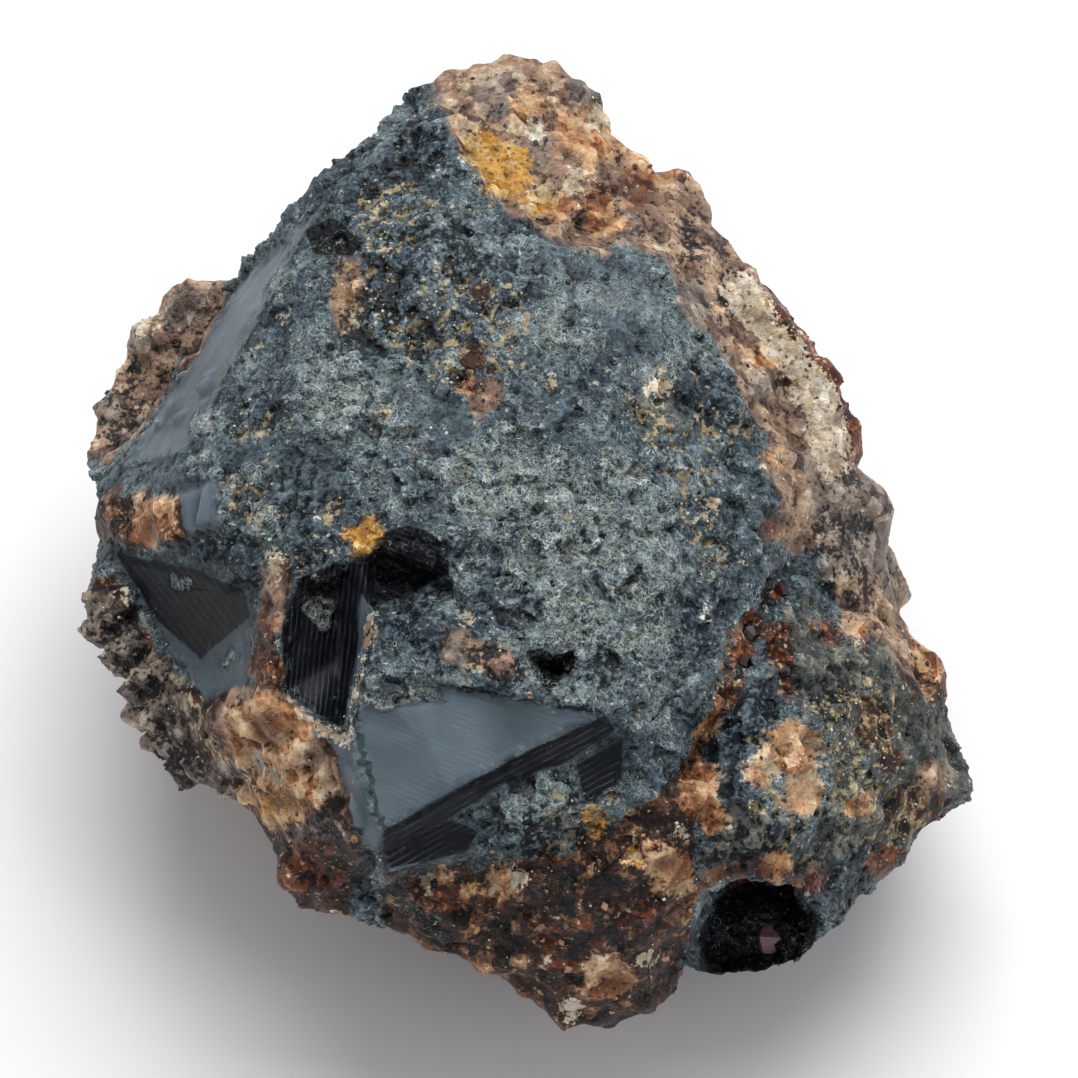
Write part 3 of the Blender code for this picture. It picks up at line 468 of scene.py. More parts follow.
        "pale_facet": ((-18.1, -9.8, 4.4), (-21, -10.7, -0.8)),
        # Stepped blocks above the left facets.
        "blocks_edge": ((-27.4, 0.1, -5.4), (-22.4, -0.6, 1.4), (-21.3, -1.3, 3.4), (-19.5, -2.9, 4.6),
                        (-17.6, -1.8, 7)),
        "block_top": ((-27.6, 2.8, -6.8), (-23.4, 3.2, -0.2), (-22.9, 4.4, 1.2), (-20.5, 4.2, 3.2),
                      (-20.3, 1.5, 4.4)),
        "plates_edge": ((-19.6, 3.6, 2.8), (-15.3, 3, 6), (-14.9, 0.4, 8.2)),
        # Left rim under the facets.
        "rim_inner": ((-27.6, -2.4, -7), (-26.5, -4.4, -6.6), (-25, -7.2, -6), (-23.2, -10.6, -4.2),
                      (-22, -13.2, -3.6)),
    })
    # Plates that overlap like scales along the left rim, each with its turn in degrees.
    rim_plates: tuple[tuple[float, ...], ...] = (
        (-27.5, -3.2, -7.6, 60), (-27.6, -5.6, -7.2, 48), (-26.2, -7.6, -7.2, 42), (-25, -9.6, -6.6, 50),
        (-23.8, -11.6, -6, 46), (-22.6, -13.4, -5.4, 40), (-20.8, -14.9, -4.4, 30), (-18.9, -15.9, -3.2, 25),
    )
    # Blocks and ledges on the face: middle, length, width, how far they stand out, turn, tilt.
    ledge_blocks: tuple[tuple[float, ...], ...] = (
        (-21.7, 2.3, 2.7, 3.4, 0.9, 0, 4), (-24.9, 1.5, 5.2, 3.0, 0.5, 10, -6),
        (-15.4, 1.1, 1.5, 4.2, 1.0, -8, 8), (-13, 0.8, 3.3, 2.5, 0.9, -5, -7),
        (-13.2, -1.3, 4.0, 1.3, 0.6, 30, 10), (-19, 1.3, 3.8, 2.4, 0.7, -20, 12),
        (-18, 6, 4.2, 2.8, 0.6, 35, -8), (-17, 9.2, 3.0, 2.0, 0.5, -50, 8),
        (-2.8, -7.7, 4.8, 3.4, 0.4, -12, 5), (-9.3, 18, 3.8, 1.7, 0.6, 5, 12),
        (-12.2, 13.2, 2.4, 3.6, 0.5, 12, -8), (-7.6, 20.4, 2.6, 1.9, 0.7, -25, 10),
        (-9.4, 8.6, 3.2, 1.8, 0.5, -38, 9), (-4.2, 6.4, 3.4, 1.5, 0.35, 14, -10),
        (3.6, 2.2, 3.4, 1.6, 0.35, -20, 9), (11.6, 8.6, 2.2, 1.7, 0.6, 40, -9),
        (13.6, 3.8, 2.4, 1.8, 0.6, -15, 10), (10.2, -2.6, 2.8, 1.9, 0.5, 25, 8),
        (0.2, -19.2, 2.9, 2.3, 1.1, 20, -8), (2.2, -17.9, 2.4, 2.0, 1.0, -30, 10),
        (-0.8, -21.1, 2.2, 1.8, 0.9, 50, 6), (13.2, -12.4, 2.4, 2.0, 0.8, 15, 10),
        (19.4, -8.2, 3.0, 2.2, 0.7, -35, -10), (23.6, -12.8, 3.2, 2.4, 0.8, 30, 12),
        (17.6, -21, 2.8, 2.0, 0.8, -12, -10), (6.4, -24.4, 3.0, 2.2, 0.7, 25, 8),
        (1.6, -25.6, 2.8, 2.0, 0.7, -30, -9),
    )
    # Areas broken into small flat chips: across, up, radius, how many, largest width.
    chipped: tuple[tuple[float, ...], ...] = (
        (-12, 8, 7, 42, 2.4), (-4, 14, 5, 60, 1.7), (-9, 20, 5, 40, 1.9), (4, 9, 7, 26, 1.5),
        (2, -1, 6, 30, 1.6), (11, 2, 5, 24, 1.9), (-17, 3, 5, 26, 2), (12, -9, 4, 18, 1.8),
        (21, -13, 7, 40, 2.2), (14, -20, 5, 26, 2), (3, -26, 7, 34, 2), (19, 6, 6, 26, 2),
        (-5, -6, 4, 18, 1.6), (-15, -17, 4, 18, 1.8), (2, 27, 6, 20, 2.2), (9.5, -12, 3, 12, 1.5),
    )
    # A second row of scales between the rim plates.
    small_plates: tuple[tuple[float, ...], ...] = (
        (-26.4, -4.6, -6.6, 50), (-25.4, -6.8, -6.2, 46), (-24.2, -8.8, -5.6, 44), (-22.9, -10.8, -5, 44),
        (-21.6, -12.8, -4.4, 38), (-24.9, -11.2, -7.8, 52), (-23.6, -13.2, -7.4, 46),
        (-21.8, -15.2, -6.4, 36),
    )
    # Garnets that stand out as blocky lumps: middle and half width.
    big_garnets: tuple[tuple[float, ...], ...] = (
        (22.4, 2.3, -9.4, 2.5), (22.6, -1.8, -8.9, 2.2), (20.9, 4.8, -8.6, 1.9), (24.5, -6.9, -9.8, 2.6),
        (26.3, -11.6, -8.6, 2.4), (27.2, -16.4, -8, 2.3), (24.2, -20.2, -6.2, 2.5), (20.9, -15.4, 0, 2.4),
        (16.3, -15.6, 4.2, 2.0), (19.7, -9.6, -0.2, 2.2), (6.4, -29.6, 1.2, 2.0), (9.2, -24.6, 3.6, 2.0),
        (-14.6, -22, 1.4, 2.0), (-17.8, -14.6, 1, 2.0), (3.4, 29.6, -12, 1.9), (20.1, 11, -9, 1.8),
        (-24.6, 13.4, -18, 2.2), (-26.4, 8.4, -18, 2.4), (-21.6, 16.2, -17.6, 1.8), (-2.6, -21.3, 5.2, 1.5),
        (-0.4, -19.4, 7.6, 1.3), (1.4, -17.9, 8.3, 1.2), (5.3, -16.6, 8.6, 1.3),
    )
    # Patches where small garnets crowd: across, up, radius, how many, largest half width.
    crowded: tuple[tuple[float, ...], ...] = (
        (2.5, 28, 5, 16, 0.9), (8, 22.6, 4, 12, 0.9), (17.5, 11.5, 4, 12, 0.9), (19.5, 4.5, 3.6, 10, 1.0),
        (-4.2, 14, 5, 26, 1.15), (-8.6, 20.6, 3.4, 9, 1.2), (22, -2, 3, 8, 1.1), (23, -10, 4.6, 14, 1.2),
        (18, -16, 5, 18, 1.1), (24, -17, 4, 12, 1.2), (12.6, -19, 3, 8, 0.9), (7, -23.5, 5, 20, 1.0),
        (3, -27, 5, 18, 1.0), (-4, -25.5, 4, 12, 0.8), (-13.6, -21, 3, 10, 0.9), (-18, -13.6, 3, 9, 0.9),
        (14.6, -7, 1.8, 6, 0.8), (2, -17.2, 2.2, 8, 0.7), (-25, 11.5, 3.6, 10, 1.1),
        (0.5, -7.5, 0.6, 3, 0.8), (4, -9.4, 0.6, 3, 0.9), (2.7, -6.9, 0.5, 2, 0.7),
    )
    # The dark hollow at the lower right: its mouth, and the smaller end that it runs in to.
    hollow_mouth: tuple[Corner, ...] = (
        (12.3, -26.4, 5), (13, -24.6, 5), (15, -23.6, 5), (17.8, -24, 5), (19.3, -25.4, 4),
        (18.6, -27.8, -5.5), (13.2, -28, -5),
    )
    hollow_end: tuple[Corner, ...] = ((13, -16.5, -6), (18, -16.5, -6.5), (18.2, -21, -10), (13, -21, -9.5))

    def inside(self, outline: Iterable[Place], across: float, up: float) -> bool:
        """Whether a point of the face lies in an outline."""
        return bool(Patch(tuple(outline)).depth(np.array([across]), np.array([up]))[0] > 0)

    def base_corner(self, direction: Vector) -> Vector:
        """Where the base outline is met from its centre, in a direction seen from above.

        Args:
            direction: the direction, in x and y.

        Returns:
            The point on the outline.
        """
        centre = Vector(self.face.base_centre)
        reach = 100 * direction.normalized()
        for start, end in zip(self.base_outline, self.base_outline[1:] + self.base_outline[:1]):
            away, side = Vector(start) - centre, Vector(end) - Vector(start)
            turn = reach.x * side.y - reach.y * side.x
            along = (away.x * side.y - away.y * side.x) / turn if turn else -1
            share = (away.x * reach.y - away.y * reach.x) / turn if turn else -1
            if along > 0 and 0 <= share <= 1:
                return centre + along * reach
        raise ValueError("the base outline isn't closed round its centre")

    def relief(self) -> tuple[list[Corner], list[list[int]], list[int]]:
        """The face as a net of flat triangles through the rim and every breakline.

        Returns:
            The net's corners, its faces, and which corners make the rim.
        """
        points: list[Corner] = []
        edges: list[tuple[int, int]] = []
        places: dict[Place, int] = {}

        def corner(point: Corner) -> int:
            """The number of a corner, which lines share where they meet."""
            key = (round(point[0], 3), round(point[1], 3))
            if key not in places:
                places[key] = len(points)
                points.append(point)
            return places[key]

        rim = [corner(p) for p in self.rim]
        edges += list(zip(rim, rim[1:] + rim[:1]))
        for line in self.breaklines.values():
            ends = [corner(p) for p in line]
            edges += list(zip(ends, ends[1:]))
        flat = [Vector(p[:2]) for p in points]
        _, _, faces, origins, _, _ = delaunay_2d_cdt(flat, edges, [], 1, 1e-4)
        if any(len(o) != 1 for o in origins):
            raise ValueError("breaklines of the relief cross")
        order = [o[0] for o in origins]
        return [points[i] for i in order], faces, [order.index(i) for i in rim]

    def bulge(self, middle: Vector, outward: Vector) -> Vector:
        """How far the hidden belt swells at a place, so that it stays behind the rim as the face is seen.

        Args:
            middle: the belt's point without a bulge.
            outward: unit direction away from the stone's middle.

        Returns:
            The move to add.
        """
        outline = [(across * self.belt_margin, up * self.belt_margin) for across, up, _ in self.rim]
        reach = self.belt_bulge * (0.75 + 0.6 * noise.noise(middle / 14))
        while reach > 0:
            across, up, _ = self.face.to_face(np.array([middle + reach * outward]))
            if self.inside(outline, float(across[0]), float(up[0])):
                return reach * outward
            reach -= 0.5
        return Vector()

    def break_off(self, mesh: BMesh, turn: float, rise: float, corners: list[Vector]) -> None:
        """Breaks the hidden side flat, by a plane that looks this way and just clears the rim and the base.

        Args:
            mesh: the stone so far.
            turn: the way seen from above, in degrees.
            rise: the way's rise, in degrees.
            corners: what the plane has to clear.
        """
        turn, rise = math.radians(turn), math.radians(rise)
        way = Vector((math.cos(turn) * math.cos(rise), math.sin(turn) * math.cos(rise), math.sin(rise)))
        reach = max(corner.dot(way) for corner in corners) + 0.2
        whole = mesh.verts[:] + mesh.edges[:] + mesh.faces[:]
        cut = bmesh.ops.bisect_plane(
            mesh, geom=whole, dist=1e-4, plane_co=way * reach, plane_no=way, clear_outer=True
        )
        rim = [e for e in cut["geom_cut"] if isinstance(e, BMEdge)]
        if rim:
            bmesh.ops.holes_fill(mesh, edges=rim, sides=0)
            bmesh.ops.triangulate(mesh, faces=mesh.faces[:])
            bmesh.ops.recalc_face_normals(mesh, faces=mesh.faces[:])

    def body(self) -> BMesh:
        """The whole stone as flat facets: its relief in front, and sides that run in to the base."""
        points, faces, rim = self.relief()
        mesh = bmesh.new()
        front = [mesh.verts.new(self.face.to_world(*p)) for p in points]
        for face in faces:
            mesh.faces.new([front[i] for i in face])
        edge = [front[i] for i in rim]
        corners = [vert.co.copy() for vert in edge] + [Vector((x, y, 0)) for x, y in self.base_outline]
        belt, base = [], []
        for vert in edge:
            outward = vert.co.xy - Vector(self.face.base_centre)
            foot = self.base_corner(outward)
            low = Vector((foot.x, foot.y, -self.face.base_sink))
            middle = vert.co.lerp(low, self.belt_share)
            belt.append(mesh.verts.new(middle + self.bulge(middle, outward.normalized().to_3d())))
            base.append(mesh.verts.new(low))
        for upper, lower in ((edge, belt), (belt, base)):
            for i in range(len(edge)):
                after = (i + 1) % len(edge)
                mesh.faces.new((upper[i], upper[after], lower[after]))
                mesh.faces.new((upper[i], lower[after], lower[i]))
        mesh.faces.new(base)
        bmesh.ops.triangulate(mesh, faces=mesh.faces[:])
        bmesh.ops.recalc_face_normals(mesh, faces=mesh.faces[:])
        for turn, rise in self.broken_faces:
            self.break_off(mesh, turn, rise, corners)
        return mesh

    def add_hull(self, mesh: BMesh, corners: Iterable[Vector]) -> None:
        """Adds the convex solid round these corners to a mesh."""
        verts = [mesh.verts.new(c) for c in corners]
        hull = bmesh.ops.convex_hull(mesh, input=verts)
        spare = [e for e in hull["geom_interior"] if isinstance(e, BMVert)]
        bmesh.ops.delete(mesh, geom=spare, context="VERTS")

    def add_garnet(self, mesh: BMesh, centre: Vector, half_width: float, draw: random.Random) -> None:
        """Adds a garnet crystal: a rhombic dodecahedron, turned at random and a little flattened.

        Args:
            mesh: what it is added to.
            centre: its middle.
            half_width: from its middle to its furthest corner.
            draw: where its chances come from.
        """
        axis = Vector((draw.gauss(0, 1), draw.gauss(0, 1), draw.gauss(0, 1)))
        turn = Matrix.Rotation(draw.uniform(0, math.tau), 3, axis)
        stretch = [draw.uniform(0.85, 1.1) * half_width / 2 for _ in range(3)]
        corners = [Vector([c * s for c, s in zip(corner, stretch)]) for corner in garnet_corners()]
        self.add_hull(mesh, [centre + turn @ corner for corner in corners])

    def slab_corners(self, long: float, wide: float, layers: Iterable[Place]) -> list[Vector]:
        """Corners of a slab with a rectangle at each layer.

        Args:
            long: its length.
            wide: its width.
            layers: for each layer, its share of the full size and its height.

        Returns:
            The corners, four to a layer.
        """
        return [
            Vector((side_x * share * long / 2, side_y * share * wide / 2, height))
            for share, height in layers for side_x in (-1, 1) for side_y in (-1, 1)
        ]

    def add_plate(self, mesh: BMesh, across: float, up: float, out: float, degrees: float) -> None:
        """Adds one scale of the left rim: a bevelled slab that leans outwards.

        Args:
            mesh: what it is added to.
            across: its middle on the face.
            up: its middle on the face.
            out: its middle on the face.
            degrees: its turn in the face.
        """
        long, wide, thick = self.plate_size
        turn = self.face.turned(degrees) @ Matrix.Rotation(self.plate_lean, 3, "X")
        corners = self.slab_corners(long, wide, ((1, -thick / 2), (self.plate_bevel, thick / 2)))
        self.add_hull(mesh, [self.face.to_world(across, up, out) + turn @ c for c in corners])

    def add_block(self, mesh: BMesh, surface: BVHTree, place: Place, size: Corner, turn: Place) -> None:
        """Adds one block or ledge of the face: flat-topped, with its foot sunk square to the surface there.

        Args:
            mesh: what it is added to.
            surface: the stone's surface.
            place: its middle on the face.
            size: its length, width and how far it stands out.
            turn: its turn in the surface and its tilt, in degrees.
        """
        sight = self.face.to_world(0, 0, 0) - self.face.to_world(0, 0, 1)
        point, normal, _, _ = surface.ray_cast(self.face.to_world(*place, self.face.clear), sight)
        if not point:
            return
        follow = (-sight).rotation_difference(normal).to_matrix()
        way = follow @ self.face.turned(turn[0]) @ Matrix.Rotation(math.radians(turn[1]), 3, "X")
        long, wide, stand = size
        layers = ((self.block_foot, -self.block_sunk), (1, 0.7 * stand), (self.block_top, stand))
        self.add_hull(mesh, [point + way @ c for c in self.slab_corners(long, wide, layers)])

    def grow_crystals(self, mesh: BMesh) -> None:
        """Adds garnets, rim plates, ledge blocks and chips to the stone for fusing, and keeps where each
        garnet is for its colour.
        """
        draw = random.Random(self.garnet_seed)
        surface = BVHTree.FromBMesh(mesh)
        sight = self.face.to_world(0, 0, 0) - self.face.to_world(0, 0, 1)
        crystals = [(self.face.to_world(*place), size) for *place, size in self.big_garnets]
        for across, up, radius, count, largest in self.crowded:
            for _ in range(count):
                turn, reach = draw.uniform(0, math.tau), radius * math.sqrt(draw.random())
                spot = (across + reach * math.cos(turn), up + reach * math.sin(turn))
                start = self.face.to_world(*spot, self.face.clear)
                point, _, _, _ = surface.ray_cast(start, sight)
                size = largest * draw.uniform(0.55, 1)
                if point:
                    crystals.append((point + sight.normalized() * size * self.garnet_sunk, size))
        middle = Vector((*self.face.base_centre, self.belt_height))
        golden = math.pi * (3 - math.sqrt(5))
        for i in range(self.underside_garnets):
            level = -0.6 + 1.1 * (i + 0.5) / self.underside_garnets
            ring = math.sqrt(1 - level * level)
            way = Vector((ring * math.cos(i * golden), ring * math.sin(i * golden), level))
            point, normal, _, _ = surface.ray_cast(middle, way)
            size = draw.uniform(*self.underside_sizes)
            if point and self.face.to_face(np.array([point]))[2][0] < -self.face_limit:
                crystals.append((point - normal * size * self.underside_depth, size))
        for centre, size in crystals:
            self.add_garnet(mesh, centre, size, draw)
        for plate in self.rim_plates + self.small_plates:
            self.add_plate(mesh, *plate)
        for across, up, long, wide, stand, degrees, tilt in self.ledge_blocks:
            self.add_block(mesh, surface, (across, up), (long, wide, stand), (degrees, tilt))
        for across, up, reach, count, largest in self.chipped:
            for _ in range(count):
                turn, away = draw.uniform(0, math.tau), reach * math.sqrt(draw.random())
                size = largest * draw.uniform(0.5, 1)
                self.add_block(
                    mesh, surface, (across + away * math.cos(turn), up + away * math.sin(turn)),
                    (size, size * draw.uniform(0.45, 0.8), size * draw.uniform(0.1, 0.26)),
                    (draw.uniform(0, 180), draw.uniform(-16, 16)),
                )
        self.grown = crystals

    def open_hollow(self, mesh: BMesh) -> BMesh:
        """Opens the dark hollow between the tongue and the right lobe, and returns the new mesh."""
        stone = object_from(mesh, "stone_before_hollow")
        cutter = bmesh.new()
        self.add_hull(cutter, [self.face.to_world(*spot) for spot in self.hollow_mouth + self.hollow_end])
        bmesh.ops.recalc_face_normals(cutter, faces=cutter.faces[:])
        tool = object_from(cutter, "hollow_cutter")
        opening = stone.modifiers.new("Hollow", "BOOLEAN")
        opening.operation = "DIFFERENCE"
        opening.solver = "EXACT"
        opening.object = tool
        mesh = settled(stone)
        bpy.data.objects.remove(tool)
        return mesh

    def fused(self, mesh: BMesh) -> BMesh:
        """One even skin round everything in the mesh."""
        obj = object_from(mesh, "stone_before_fusing")
        skin = obj.modifiers.new("One skin", "REMESH")
        skin.mode = "VOXEL"
        skin.voxel_size = self.skin_step
        return settled(obj)

    def thinned(self, mesh: BMesh) -> BMesh:
        """Fewer triangles, most of them where the surface turns."""
        obj = object_from(mesh, "stone_before_thinning")
        count = sum(len(p.vertices) - 2 for p in obj.data.polygons)
        fewer = obj.modifiers.new("Fewer faces", "DECIMATE")
        fewer.ratio = min(1.0, self.most_triangles / count)
        return settled(obj)


def object_from(mesh: BMesh, name: str) -> bpy.types.Object:
    """Links a new object that holds this bmesh, which is freed.

    Args:
        mesh: the shape.
        name: the object's name.

    Returns:
        The new object.
    """
    data = bpy.data.meshes.new(name)
    mesh.to_mesh(data)
    mesh.free()
    obj = bpy.data.objects.new(name, data)
    bpy.context.scene.collection.objects.link(obj)
    return obj


def settled(obj: bpy.types.Object) -> BMesh:
    """The object's mesh with its modifiers applied. The object is removed.

    Args:
        obj: an object with modifiers.

    Returns:
        Its final mesh.
    """
    bpy.context.view_layer.update()
    evaluated = obj.evaluated_get(bpy.context.evaluated_depsgraph_get())
    mesh = bmesh.new()
    mesh.from_mesh(evaluated.to_mesh())
    evaluated.to_mesh_clear()
    bpy.data.objects.remove(obj)
    return mesh


def join_zones(shapes: Iterable[Any], across: np.ndarray, up: np.ndarray) -> np.ndarray:
    """How far each place is inside any of these areas, in millimetres; below 0 outside them all."""
    depth = np.full(len(across), -9.0)
    for shape in shapes:
        depth = np.maximum(depth, shape.depth(across, up))
    return depth


@dataclass(frozen=True)
class Striae:
    """Growth lines on a flat crystal face: where they are, which way they run and how deep they are."""

    area: Patch
    degrees: float
    pitch: float
    tall: float

    def phase(self, across: np.ndarray, up: np.ndarray) -> np.ndarray:
        """How many lines lie between the face's middle and each place."""
        turn = math.radians(self.degrees)
        return (up * math.cos(turn) - across * math.sin(turn)) / self.pitch


# The striated steps under the smooth facet.
STEPS = (
    Patch(((-9.2, -19.4), (0, -14.2), (5.6, -11.8), (6.6, -12.7), (3, -14.9), (-1.6, -16.4), (-4.6, -18.6),
           (-9.2, -21.4))),
    Patch(((3.8, -15), (7, -13), (6.7, -16), (4.4, -17.6))),
    Patch(((-9.2, -21.4), (-4.6, -18.6), (-2.6, -19.4), (-3.6, -20.8), (-8.6, -22))),
)


